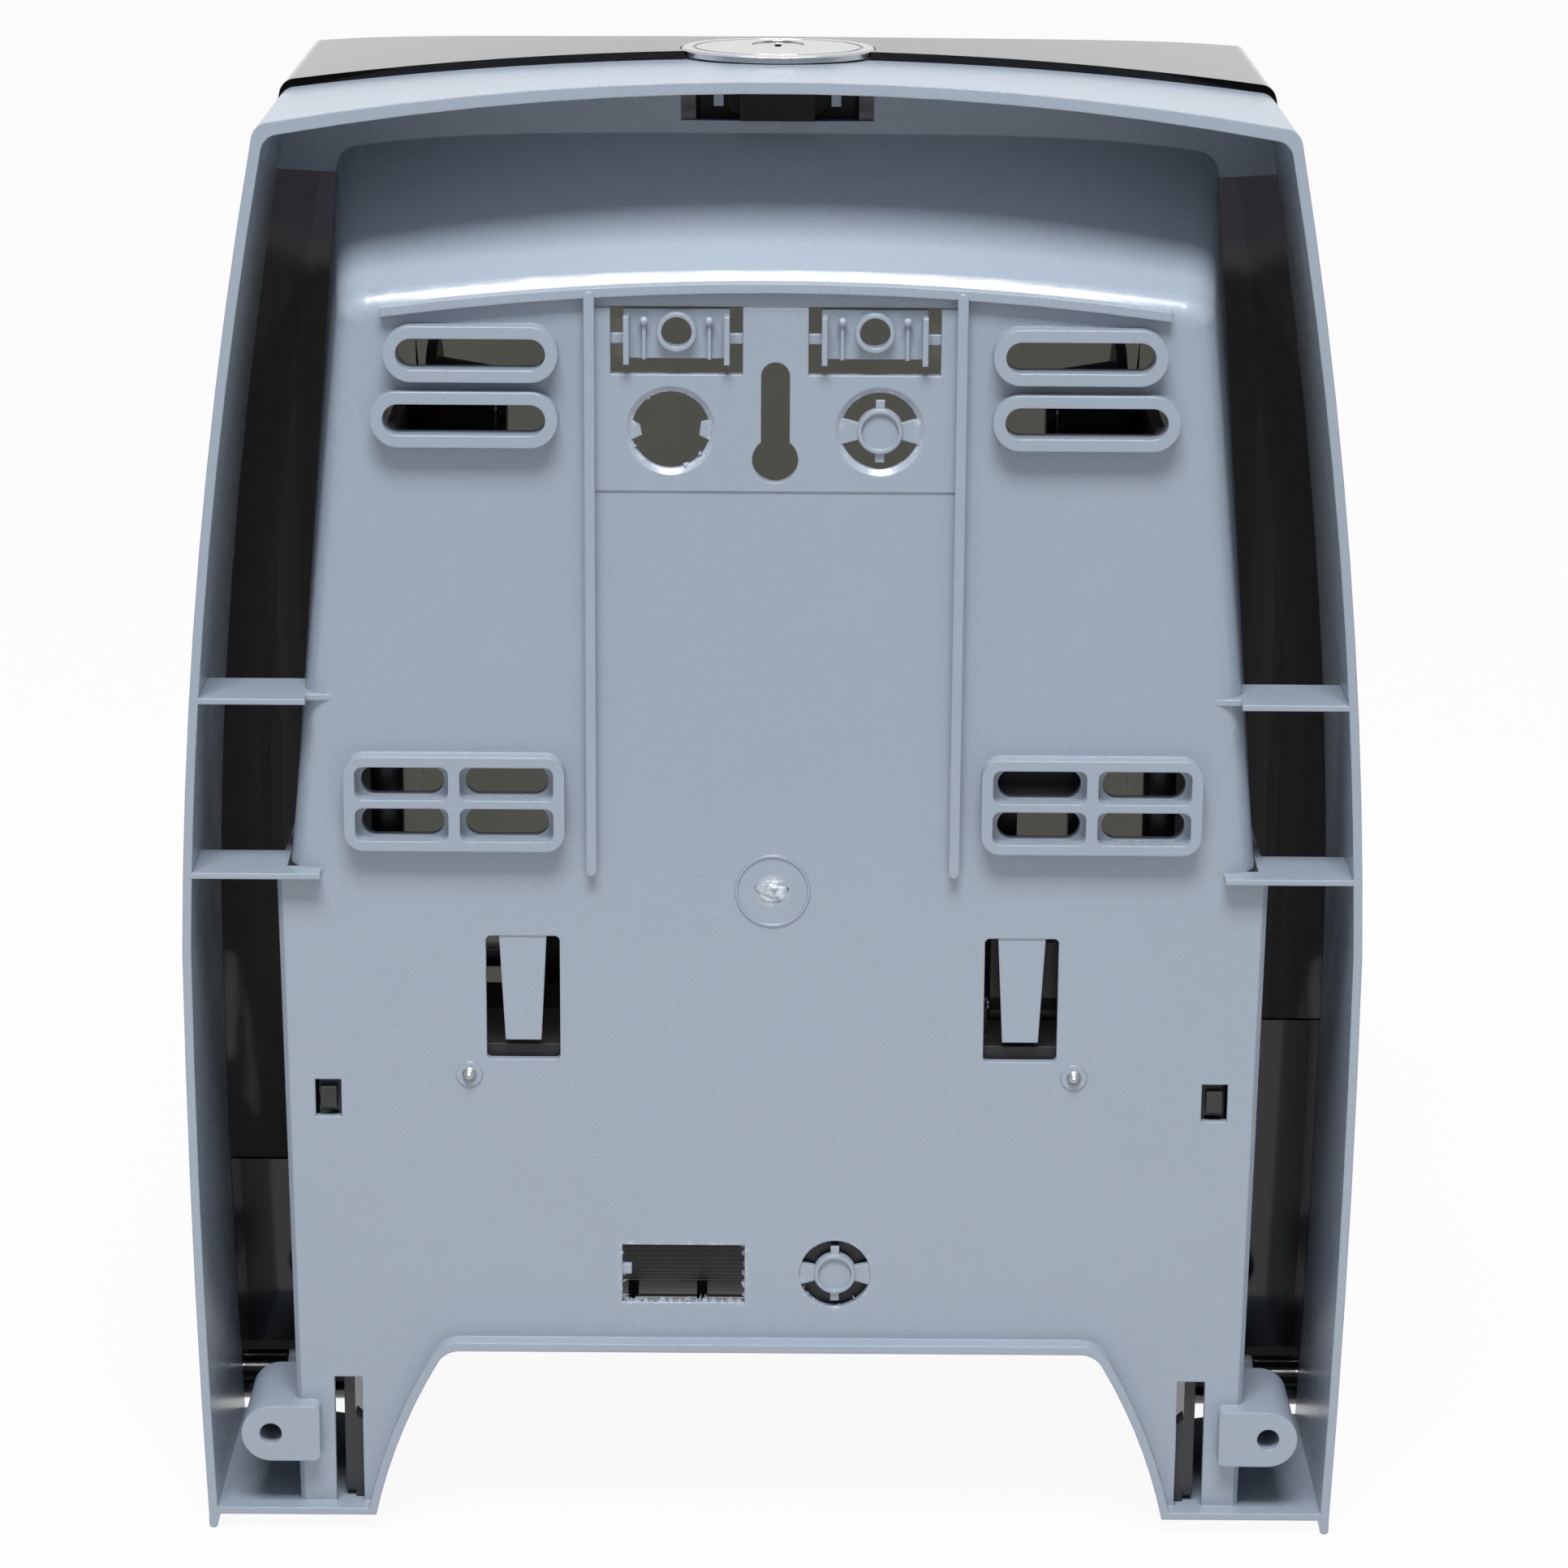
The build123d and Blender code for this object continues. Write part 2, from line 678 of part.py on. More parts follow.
def cover_web(side):
    """An upright web inside the cover, from its side wall towards the hinge tab."""
    with BuildPart() as web_piece:
        add(cover_form(cover_wall / 2))
        with BuildSketch(Plane.XZ.offset(side_web_depth)):
            with Locations((side * (side_web_half + width) / 2, floor_z + (side_web_top[side] + hinge_rise + 9) / 2)):
                Rectangle(width - side_web_half, side_web_top[side] - hinge_rise - 9)
        extrude(amount=side_web, mode=Mode.INTERSECT)
    return web_piece.part


def save(piece, name):
    """Labels a finished piece and writes it."""
    piece.label = name
    export_step(piece, f"parts/{name}.step")


sides_and_names = ((-1, "left"), (1, "right"))
knife_plane = Plane(origin=(0, -drum_depth, drum_z), x_dir=(1, 0, 0),
                    z_dir=(0, sin(radians(knife_turn)), -cos(radians(knife_turn))))


# Rear housing: skirt, band, channels, pan and arch in one moulding

with BuildPart() as channel_webs:
    with BuildSketch(Plane.XZ):
        add(outline(wall / 2, top_wall / 2, floor_z))
    extrude(amount=web_depth)
    with BuildSketch(Plane.YZ):
        for web_z in (rib_z, shelf_z):
            with Locations(at(web_depth / 2, web_z)):
                Rectangle(web_depth, web)
    extrude(amount=width, both=True, mode=Mode.INTERSECT)
    with BuildSketch(Plane.XZ.offset(-1)):
        with BuildLine():
            Polyline((-122.4, shelf_z - web), (122.4, shelf_z - web), (125.7, rib_z + web), (-125.7, rib_z + web),
                     close=True)
        make_face()
    extrude(amount=plate_depth + 1, mode=Mode.SUBTRACT)

with BuildPart() as top_band:
    with BuildSketch(Plane.XZ):
        add(outline(wall / 2, top_wall / 2, floor_z))
    extrude(amount=seam_side)
    with BuildSketch(Plane.XY.offset(band_low_z)):
        add(in_front_of_seam(-band_wall))
    extrude(amount=height, mode=Mode.INTERSECT)

with BuildPart() as rear_housing:
    with BuildSketch(Plane.XZ):
        add(outline(0, 0, floor_z))
        add(outline(wall, top_wall, floor_z + floor_wall), mode=Mode.SUBTRACT)
    extrude(amount=seam_side)
    with BuildSketch(Plane.XZ):
        for side in (-1, 1):
            with Locations((side * (foot_x - wall / 2), floor_z - skirt_tip / 2 + wall / 2)):
                RectangleRounded(wall, skirt_tip + wall, wall / 2 - 0.1)
    extrude(amount=seam_side)
    add(channel_webs.part)
    add(top_band.part)
    add(upper_pan(0, pillar_radius), mode=Mode.SUBTRACT)
    add(lower_pan(0), mode=Mode.SUBTRACT)
    # Pan walls, then the hollow that holds the roll and the feed unit
    add(upper_pan(0, pillar_radius))
    add(lower_pan(0))
    add(upper_pan(plate_wall, pillar_radius - plate_wall), mode=Mode.SUBTRACT)
    add(lower_pan(plate_wall), mode=Mode.SUBTRACT)
    # Wall around the arch, level with the skirt's rim at the back
    with BuildSketch(Plane.XZ):
        add(arch(arch_wall))
    extrude(amount=plate_front)
    with BuildSketch(Plane.XZ.offset(-1)):
        add(arch(0))
    extrude(amount=depth, mode=Mode.SUBTRACT)
    # Lip along the bottom of the bowl and the two upright ribs
    with BuildSketch(Plane.XZ.offset(plate_depth - lip_proud)):
        with BuildLine():
            ThreePointArc((-lip_half, lip_end_z), (0, lip_mid_z), (lip_half, lip_end_z))
            Line((lip_half, lip_end_z), (lip_half, lip_end_z - plate_wall))
            ThreePointArc((lip_half, lip_end_z - plate_wall), (0, lip_mid_z - plate_wall),
                          (-lip_half, lip_end_z - plate_wall))
            Line((-lip_half, lip_end_z - plate_wall), (-lip_half, lip_end_z))
        make_face()
    extrude(amount=lip_proud + plate_wall / 2)
    with BuildSketch(Plane.XZ.offset(plate_depth - rib_proud)):
        for side in (-1, 1):
            with Locations((side * rib_half, (lip_mid_z - plate_wall + shelf_z) / 2)):
                RectangleRounded(rib_wide, lip_mid_z - plate_wall - shelf_z, rib_wide / 2 - 0.1)
    extrude(amount=rib_proud + plate_wall / 2)
    # Thicker field around the keyhole
    with BuildSketch(Plane.XZ.offset(plate_depth - patch_proud)):
        with Locations((0, (lip_end_z + patch_foot_z) / 2)):
            Rectangle(2 * rib_half, lip_end_z - patch_foot_z)
    extrude(amount=patch_proud + plate_wall / 2)
    # Seam: everything in front of it belongs to the cover
    with BuildSketch(Plane.XY.offset(tip_z - 1)):
        add(in_front_of_seam(0))
    extrude(amount=height + 40, mode=Mode.SUBTRACT)
    # Raised collars around the fixing slots and frames around the vents, level with the rim
    with BuildSketch(Plane.XZ):
        for side in (-1, 1):
            for row in (0, 1):
                with Locations((side * slot_half[row], -row * slot_drop)):
                    SlotOverall(slot_long[row] + 2 * collar_wall, slot_high + 2 * collar_wall)
            with Locations((side * vent_half, vent_z)):
                RectangleRounded(vent_frame[0], vent_frame[1], vent_round)
    extrude(amount=plate_front - 0.1)
    with BuildSketch(Plane.XZ.offset(-1)):
        for side in (-1, 1):
            with Locations((side * vent_half, vent_z)):
                with GridLocations(vent_pitch[0], vent_pitch[1], 2, 2):
                    RectangleRounded(vent_pocket[0], vent_pocket[1], 2.2)
    extrude(amount=plate_depth + 0.6, mode=Mode.SUBTRACT)
    # Keyhole, hooks, tongues, feet, cable hole, windows and latch opening
    with BuildSketch(Plane.XZ.offset(-1)):
        for side in (-1, 1):
            for row in (0, 1):
                with Locations((side * slot_half[row], -row * slot_drop)):
                    SlotOverall(slot_long[row], slot_high)
            with Locations((side * vent_half, vent_z)):
                with GridLocations(vent_pitch[0], vent_pitch[1], 2, 2):
                    SlotOverall(vent_slot[0], vent_slot[1])
            with Locations((side * window_half, window_z)):
                Rectangle(window_size[0], window_size[1])
            with Locations((side * knockout_half, knockout_z)):
                Circle(knockout_radius)
            with Locations((side * hook_half, hook_z)):
                Rectangle(hook_window[0], hook_window[1])
            with Locations((side * foot_slot_half, floor_z + (foot_slot_top + floor_wall) / 2)):
                Rectangle(foot_slot_wide, foot_slot_top - floor_wall)
            with Locations((side * tongue_half, floor_z + tongue_rise - tongue_slot[1] / 2)):
                RectangleRounded(tongue_slot[0], tongue_slot[1], 1.4)
            with Locations((side * boss_half, boss_z)):
                Circle(screw_radius + running_gap)
        with Locations((0, keyhole_z)):
            Circle(keyhole_radius)
        with Locations((0, keyhole_top_z - keyhole_neck / 2)):
            Circle(keyhole_neck / 2)
        with Locations((0, (keyhole_z + keyhole_top_z - keyhole_neck / 2) / 2)):
            Rectangle(keyhole_neck, keyhole_top_z - keyhole_neck / 2 - keyhole_z)
        with Locations((cable_half, floor_z + cable_rise)):
            Rectangle(cable_size[0], cable_size[1])
        with Locations((low_knockout_x, floor_z + low_knockout_rise)):
            Circle(low_knockout_radius)
    extrude(amount=plate_front + 8, mode=Mode.SUBTRACT)
    # Dished rims of the round knock-outs
    with BuildSketch(Plane.XZ.offset(plate_depth - patch_proud)):
        for side in (-1, 1):
            with Locations((side * knockout_half, knockout_z)):
                Circle(knockout_radius + rim_width)
    extrude(amount=rim_width * 0.8, taper=50, mode=Mode.SUBTRACT)
    # Tongues hang from the top of their slots
    with BuildSketch(Plane.XZ.offset(plate_depth + 0.3)):
        for side in (-1, 1):
            tongue_top = floor_z + tongue_rise + 0.5
            tongue_tip = floor_z + tongue_rise - tongue_long
            with BuildLine():
                Polyline((side * tongue_half - tongue_wide[0] / 2, tongue_top),
                         (side * tongue_half + tongue_wide[0] / 2, tongue_top),
                         (side * tongue_half + tongue_wide[1] / 2, tongue_tip),
                         (side * tongue_half - tongue_wide[1] / 2, tongue_tip), close=True)
            make_face()
    extrude(amount=plate_wall - 0.6)
    # Bosses for the chassis screws, and the gate mark below the ribs
    with BuildSketch(Plane.XZ.offset(plate_depth - 0.3)):
        for side in (-1, 1):
            with Locations((side * boss_half, boss_z)):
                Circle(boss_radius)
                Circle(screw_radius + running_gap, mode=Mode.SUBTRACT)
        with Locations((0, floor_z + gate_rise)):
            Circle(gate_radius)
            Circle(gate_radius - 0.7, mode=Mode.SUBTRACT)
            RectangleRounded(7.0, 5.6, 2.0)
    extrude(amount=1.0)
    # What is left of the broken-out knock-outs
    for side in (-1, 1):
        add(window_bracket(side * window_half))
    add(knock_out(-knockout_half, knockout_z, knockout_radius))
    add(knock_out(low_knockout_x, floor_z + low_knockout_rise, low_knockout_radius))
    with BuildSketch(Plane.XZ.offset(plate_depth + 0.4)):
        for side in (-1, 1):
            with BuildLine():
                Polyline((knockout_half + side * (knockout_radius + 0.4), knockout_z + 3.0),
                         (knockout_half + side * (knockout_radius - 2.3), knockout_z + 1.7 - 0.5 * side),
                         (knockout_half + side * (knockout_radius - 2.8), knockout_z - 1.3),
                         (knockout_half + side * (knockout_radius + 0.4), knockout_z - 2.8), close=True)
            make_face()
        for k in range(14):
            cable_foot = floor_z + cable_rise - cable_size[1] / 2
            with Locations((cable_half - cable_size[0] / 2 + 1.6 + 2.36 * k, cable_foot)):
                RegularPolygon(0.9 + 0.35 * sin(2.3 * k), 5, rotation=31 * k)
        for k in range(5):
            with Locations((cable_half - cable_size[0] / 2, floor_z + cable_rise - 6.4 + 3.1 * k)):
                RegularPolygon(0.7 + 0.3 * sin(1.7 * k), 4, rotation=23 * k)
        with Locations((cable_half + cable_size[0] / 2 - 1.2, floor_z + cable_rise + 1.2)):
            Rectangle(2.8, 2.9)
    extrude(amount=1.6)
    # Wall lugs, with a deep boss in each side channel
    for side in (-1, 1):
        with BuildSketch(Plane.XZ):
            add(lug_face(side))
        extrude(amount=plate_depth + 1)
        with BuildSketch(Plane.XZ):
            add(lug_face(side))
            with Locations((0, lug_z)):
                Rectangle(2 * (box_foot_half - 1.2), 4 * lug_radius, mode=Mode.SUBTRACT)
        extrude(amount=lug_reach)
    with BuildSketch(Plane.XZ.offset(-1)):
        with Locations((-lug_half, lug_z), (lug_half, lug_z)):
            Circle(lug_hole)
    extrude(amount=lug_reach + 2, mode=Mode.SUBTRACT)
    # Latch opening under the top and its guide ribs
    with BuildSketch(Plane.XZ.offset(seam_mid - 2 * band_wall)):
        with Locations((0, latch_sill_z + latch_window[1] / 2)):
            Rectangle(latch_window[0], latch_window[1])
    extrude(amount=3 * band_wall, mode=Mode.SUBTRACT)
    with BuildSketch(Plane.XZ.offset(seam_mid - band_wall - 5)):
        for side in (-1, 1):
            with Locations((side * latch_guide_half, latch_guide_z + latch_guide[1] / 2)):
                Rectangle(latch_guide[0], latch_guide[1])
    extrude(amount=5.3)
    # Ears for the roll arms, on the front of the plate
    for ear_z in (arm_z[0] - seat_gap - ear_wall, arm_z[1] + seat_gap):
        with BuildSketch(Plane.XY.offset(ear_z)):
            for side in (-1, 1):
                with Locations((side * arm_half, -(plate_depth + 1.5 + arm_pivot_depth) / 2)):
                    Rectangle(2 * ear_radius, arm_pivot_depth - plate_depth - 1.5)
                with Locations((side * arm_half, -arm_pivot_depth)):
                    Circle(ear_radius)
        extrude(amount=ear_wall)
    with BuildSketch(Plane.XY.offset(arm_z[0] - 8)):
        with Locations((-arm_half, -arm_pivot_depth), (arm_half, -arm_pivot_depth)):
            Circle(arm_pin + running_gap)
    extrude(amount=arm_z[1] - arm_z[0] + 16, mode=Mode.SUBTRACT)
    # Tabs that carry the cover's hinge pins
    for side in (-1, 1):
        with BuildSketch(across(side, hinge_tab_half - hinge_tab / 2, hinge_tab_half + hinge_tab / 2)):
            with BuildLine():
                Polyline(low(hinge_depth - 30, 1.0), low(hinge_depth - 30, hinge_rise),
                         low(hinge_depth - 4, hinge_rise + 5.6), low(hinge_depth, hinge_rise),
                         low(hinge_depth - 4, hinge_rise - 5.6), close=True)
            make_face()
            with Locations(low(hinge_depth, hinge_rise)):
                Circle(hinge_nose)
                Circle(hinge_pin + running_gap, mode=Mode.SUBTRACT)
        extrude(amount=hinge_tab)
save(rear_housing.part, "rear_housing")


# Chassis bridge and its screws

with BuildPart() as chassis_bridge:
    with BuildSketch(across(1, 0, chassis_half)):
        with BuildLine():
            Polyline(low(plate_front + seat_gap, chassis_foot), low(plate_front + seat_gap, chassis_top),
                     low(38, chassis_top), low(38, chassis_top - chassis_wall),
                     low(plate_front + seat_gap + chassis_wall, chassis_top - chassis_wall),
                     low(plate_front + seat_gap + chassis_wall, chassis_foot + chassis_wall),
                     low(30, chassis_foot + chassis_wall), low(30, chassis_foot), close=True)
        make_face()
    extrude(amount=chassis_half, both=True)
    with BuildSketch(Plane.YZ.offset(-chassis_half)):
        with BuildLine():
            Polyline(low(plate_front + seat_gap, chassis_foot), low(plate_front + seat_gap, chassis_top),
                     low(38, chassis_top), low(30, chassis_foot), close=True)
        make_face()
    extrude(amount=2 * chassis_half)
    with BuildSketch(Plane.YZ.offset(-chassis_half + chassis_wall)):
        with BuildLine():
            Polyline(low(plate_front + seat_gap + chassis_wall, chassis_foot + chassis_wall),
                     low(plate_front + seat_gap + chassis_wall, chassis_top - chassis_wall),
                     low(50, chassis_top - chassis_wall), low(50, chassis_foot + chassis_wall), close=True)
        make_face()
    extrude(amount=2 * (chassis_half - chassis_wall), mode=Mode.SUBTRACT)
    with BuildSketch(Plane.YZ.offset(-chassis_half)):
        for screw_rise in end_screw_rises:
            with Locations(low(end_screw_depth, screw_rise)):
                Circle(5)
    extrude(amount=2 * chassis_half)
    with BuildSketch(Plane.YZ.offset(-chassis_half + 12)):
        for screw_rise in end_screw_rises:
            with Locations(low(end_screw_depth, screw_rise)):
                Circle(6)
    extrude(amount=2 * (chassis_half - 12), mode=Mode.SUBTRACT)
    with BuildSketch(Plane.XZ.offset(plate_front + seat_gap)):
        with Locations((0, floor_z + (chassis_top + chassis_foot) / 2)):
            Rectangle(2 * chassis_half, chassis_top - chassis_foot)
        with Locations((-boss_half, boss_z), (boss_half, boss_z)):
            Circle(1)
    extrude(amount=chassis_wall)
    with BuildSketch(Plane.XZ.offset(plate_front + seat_gap)):
        with Locations((-boss_half, boss_z), (boss_half, boss_z)):
            Circle(5)
    extrude(amount=8)
    # Ears for the stub-roll feeler
    for side in (-1, 1):
        ear_x = follower_mid + side * (follower_wide / 2 + 1.8)
        with BuildSketch(Plane.YZ.offset(ear_x - 1.25)):
            with BuildLine():
                Polyline(low(follower_pivot[0] - 5, chassis_top - 1), low(follower_pivot[0] - 4, follower_pivot[1] + 2),
                         low(follower_pivot[0] + 4, follower_pivot[1] + 2),
                         low(follower_pivot[0] + 8, chassis_top - 1), close=True)
            make_face()
            with Locations(low(follower_pivot[0], follower_pivot[1])):
                Circle(4.5)
        extrude(amount=2.5)
    with BuildSketch(Plane.YZ.offset(follower_mid - follower_wide)):
        with Locations(low(follower_pivot[0], follower_pivot[1])):
            Circle(follower_pin_radius + running_gap)
    extrude(amount=2 * follower_wide, mode=Mode.SUBTRACT)
    # Screw holes from the front and from both ends, and a window in line with the cable hole
    with BuildSketch(Plane.XZ):
        with Locations((-boss_half, boss_z), (boss_half, boss_z)):
            Circle(screw_radius + running_gap)
        with Locations((cable_half, floor_z + cable_rise)):
            Rectangle(cable_size[0] + 2, cable_size[1] + 2)
    extrude(amount=depth / 2, mode=Mode.SUBTRACT)
    with BuildSketch(Plane.YZ.offset(-width)):
        for screw_rise in end_screw_rises:
            with Locations(low(end_screw_depth, screw_rise)):
                Circle(screw_radius + running_gap)
    extrude(amount=2 * width, mode=Mode.SUBTRACT)
save(chassis_bridge.part, "chassis_bridge")

chassis_screw_head = plate_front + seat_gap + 8 + 0.1
with BuildPart() as chassis_screws:
    with BuildSketch(Plane.XZ.offset(plate_depth - 0.1)):
        with Locations((-boss_half, boss_z), (boss_half, boss_z)):
            Circle(screw_radius)
    extrude(amount=chassis_screw_head - plate_depth + 1.1)
    with BuildSketch(Plane.XZ.offset(chassis_screw_head)):
        with Locations((-boss_half, boss_z), (boss_half, boss_z)):
            Circle(screw_head)
    extrude(amount=2.4)
    with BuildSketch(Plane.XZ.offset(chassis_screw_head + 1.2)):
        with Locations((-boss_half, boss_z), (boss_half, boss_z)):
            Rectangle(3.8, 0.9)
            Rectangle(0.9, 3.8)
    extrude(amount=3, mode=Mode.SUBTRACT)
save(chassis_screws.part, "chassis_screws")

with BuildPart() as frame_screws:
    for side in (-1, 1):
        head_start = frame_half + frame_wall + 0.1
        with BuildSketch(across(side, head_start, head_start + 2.2)):
            for screw_rise in end_screw_rises:
                with Locations(low(end_screw_depth, screw_rise)):
                    Circle(screw_head)
        extrude(amount=2.2)
        with BuildSketch(across(side, chassis_half - 10, head_start + 1)):
            for screw_rise in end_screw_rises:
                with Locations(low(end_screw_depth, screw_rise)):
                    Circle(screw_radius)
        extrude(amount=head_start + 1 - chassis_half + 10)
        with BuildSketch(across(side, head_start + 1.2, head_start + 3)):
            for screw_rise in end_screw_rises:
                with Locations(low(end_screw_depth, screw_rise)):
                    Rectangle(3.8, 0.9)
                    Rectangle(0.9, 3.8)
        extrude(amount=1.8, mode=Mode.SUBTRACT)
save(frame_screws.part, "frame_screws")


# Side frames of the feed unit

for side, name in sides_and_names:
    save(side_frame(side), f"side_frame_{name}")

with BuildPart() as tie_rod:
    add(cylinder_x(-frame_half - 8, frame_half + 8, tie_at[0], floor_z + tie_at[1], tie_radius))
    for side in (-1, 1):
        # A shoulder inside each frame and a nut outside it
        add(cylinder_x(side * (frame_half - 4), side * (frame_half - seat_gap), tie_at[0], floor_z + tie_at[1], 6))
        nut_start = frame_half + frame_wall + seat_gap
        with BuildSketch(across(side, nut_start, nut_start + 3.4)):
            with Locations(low(tie_at[0], tie_at[1])):
                RegularPolygon(6.2, 6)
        extrude(amount=3.4)
save(tie_rod.part, "tie_rod")

for side, name in sides_and_names:
    flange_start = frame_half + frame_wall + seat_gap
    with BuildPart() as drum_bush:
        add(cylinder_x(side * bush_inner_half, side * (flange_start + 0.5), drum_depth, drum_z, bush_outer))
        add(cylinder_x(side * flange_start, side * (flange_start + bush_flange[1]), drum_depth, drum_z,
                       bush_flange[0]))
        add(cylinder_x(side * (bush_inner_half - 1), side * (flange_start + 4), drum_depth, drum_z,
                       shaft_radius + running_gap), mode=Mode.SUBTRACT)
    save(drum_bush.part, f"drum_bush_{name}")

    with BuildPart() as knife_cam:
        add(cylinder_x(side * cam_half, side * (frame_half - seat_gap), drum_depth, drum_z, cam_radius))
        add(cylinder_x(side * cam_half, side * (frame_half - seat_gap), drum_depth, drum_z,
                       bush_outer + 3 * running_gap), mode=Mode.SUBTRACT)
        with BuildSketch(across(side, cam_half, cam_half + cam_track_deep)):
            with Locations(low(drum_depth, drum_rise)):
                Circle(cam_track[1])
                Circle(cam_track[0], mode=Mode.SUBTRACT)
        extrude(amount=cam_track_deep, mode=Mode.SUBTRACT)
    save(knife_cam.part, f"knife_cam_{name}")


# Drum on its shaft, with the feed knob and the drive spring

with BuildPart() as drum_shell:
    add(cylinder_x(-drum_half, drum_half, drum_depth, drum_z, drum_radius, drum_radius - drum_wall))
    for start in grip_starts:
        add(cylinder_x(start, start + grip_long, drum_depth, drum_z, drum_radius + 1, drum_radius - grip_sunk),
            mode=Mode.SUBTRACT)
    with BuildSketch(knife_plane):
        with Locations((0, drum_radius)):
            Rectangle(2 * knife_half + 3, 12)
    extrude(amount=drum_slot / 2, both=True, mode=Mode.SUBTRACT)
save(drum_shell.part, "drum_shell")

with BuildPart() as drum_grips:
    for start in grip_starts:
        add(cylinder_x(start + 0.2, start + grip_long - 0.2, drum_depth, drum_z, drum_radius + grip_proud,
                       drum_radius - grip_sunk + running_gap))
    with BuildSketch(knife_plane):
        with Locations((0, drum_radius)):
            Rectangle(2 * knife_half + 3, 12)
    extrude(amount=drum_slot / 2 + 0.6, both=True, mode=Mode.SUBTRACT)
save(drum_grips.part, "drum_grips")

for side, name in sides_and_names:
    with BuildPart() as drum_end:
        add(cylinder_x(side * (drum_half - drum_end_wall), side * drum_half, drum_depth, drum_z,
                       drum_radius - drum_wall - 0.1))
        add(cylinder_x(side * (drum_half - 14), side * (bush_inner_half - seat_gap), drum_depth, drum_z, 9))
        add(cylinder_x(side * (drum_half - 15), side * (drum_half + 8), drum_depth, drum_z,
                       shaft_radius + running_gap), mode=Mode.SUBTRACT)
        with BuildSketch(knife_plane):
            with Locations((side * drum_half, knife_pin_at + 14)):
                Rectangle(20, 28 + 2 * (knife_pin_radius + running_gap))
        extrude(amount=knife_pin_radius + running_gap, both=True, mode=Mode.SUBTRACT)
    save(drum_end.part, f"drum_end_{name}")

with BuildPart() as drum_shaft:
    add(cylinder_x(-shaft_left, shaft_right, drum_depth, drum_z, shaft_radius))
    add(cylinder_x(shaft_right - 11, shaft_right + 1, drum_depth, drum_z, knob_screw_radius + running_gap),
        mode=Mode.SUBTRACT)
    # Cross pins key the drum's end plates to the shaft
    with BuildSketch(Plane.XZ.offset(drum_depth - 3)):
        with Locations((-drum_half - 1.8, drum_z), (drum_half + 1.8, drum_z)):
            Circle(0.8)
    extrude(amount=6)
save(drum_shaft.part, "drum_shaft")

with BuildPart() as feed_knob:
    with BuildSketch(Plane.YZ.offset(knob_start)):
        with Locations(low(drum_depth, drum_rise)):
            Circle(knob_radius)
            with PolarLocations(knob_radius + 2.2, 12):
                Circle(4.2, mode=Mode.SUBTRACT)
            Circle(shaft_radius + running_gap, mode=Mode.SUBTRACT)
    extrude(amount=knob_long)
    outer_edges = feed_knob.faces().sort_by(Axis.X)[-1].outer_wire().edges()
    chamfer(outer_edges, length=1.2)
    with BuildSketch(Plane.YZ.offset(knob_start + knob_long - 1.5)):
        with Locations(low(drum_depth, drum_rise)):
            Circle(12)
    extrude(amount=2, mode=Mode.SUBTRACT)
save(feed_knob.part, "feed_knob")

knob_face = knob_start + knob_long - 1.5
with BuildPart() as knob_screw:
    add(cylinder_x(knob_face + 0.2, knob_face + 2.6, drum_depth, drum_z, 7))
    add(cylinder_x(shaft_right - 10, knob_face + 1, drum_depth, drum_z, knob_screw_radius))
    with BuildSketch(Plane.YZ.offset(knob_face + 1.4)):
        with Locations(low(drum_depth, drum_rise)):
            Rectangle(8, 1.2)
            Rectangle(1.2, 8)
    extrude(amount=3, mode=Mode.SUBTRACT)
save(knob_screw.part, "knob_screw")

case_start = frame_half + frame_wall + seat_gap + bush_flange[1] + seat_gap
with BuildPart() as spring_case:
    add(cylinder_x(-case_start, -case_start - spring_case_long, drum_depth, drum_z, spring_case_radius))
    add(cylinder_x(-case_start - 1.6, -case_start - spring_case_long + 1.6, drum_depth, drum_z,
                   spring_case_radius - 2), mode=Mode.SUBTRACT)
    add(cylinder_x(-case_start + 1, -case_start - 2, drum_depth, drum_z, shaft_radius + 1), mode=Mode.SUBTRACT)
    with BuildSketch(Plane.YZ.offset(-case_start - 0.5)):
        with Locations(low(drum_depth, drum_rise)):
            with PolarLocations(spring_case_radius - 5, 3, start_angle=90):
                Circle(3)
    extrude(amount=case_start + 0.5 - frame_half - frame_wall - seat_gap)
save(spring_case.part, "spring_case")

with BuildPart() as drive_spring:
    with BuildSketch(Plane.YZ.offset(-case_start - spring_case_long + 3)):
        with BuildLine():
            for half_turn in range(15):
                start = shaft_radius + 1.0 + 1.15 * half_turn
                side = 1 if half_turn % 2 == 0 else -1
                ThreePointArc((-drum_depth + side * start, drum_z),
                              (-drum_depth, drum_z + side * (start + 0.575)),
                              (-drum_depth - side * (start + 1.15), drum_z))
        trace(line_width=0.8)
    extrude(amount=spring_case_long - 6)
save(drive_spring.part, "drive_spring")


# Knife that rises out of the drum

with BuildPart() as knife_carriage:
    with BuildSketch(knife_plane):
        with Locations((0, (knife_foot + knife_shoulder) / 2)):
            Rectangle(2 * knife_half, knife_shoulder - knife_foot)
    extrude(amount=knife_wide / 2, both=True)
    with BuildSketch(knife_plane):
        with Locations((0, (knife_pin_at + knife_shoulder) / 2 + 1)):
            Rectangle(2 * knife_half + 1, knife_shoulder - knife_pin_at + 2)
    extrude(amount=blade_wall / 2 + 0.1, both=True, mode=Mode.SUBTRACT)
    with BuildSketch(knife_plane):
        with GridLocations(40, 1, 5, 1):
            with Locations((0, knife_foot + 4)):
                RectangleRounded(26, 4, 1.5)
    extrude(amount=knife_wide, both=True, mode=Mode.SUBTRACT)
save(knife_carriage.part, "knife_carriage")

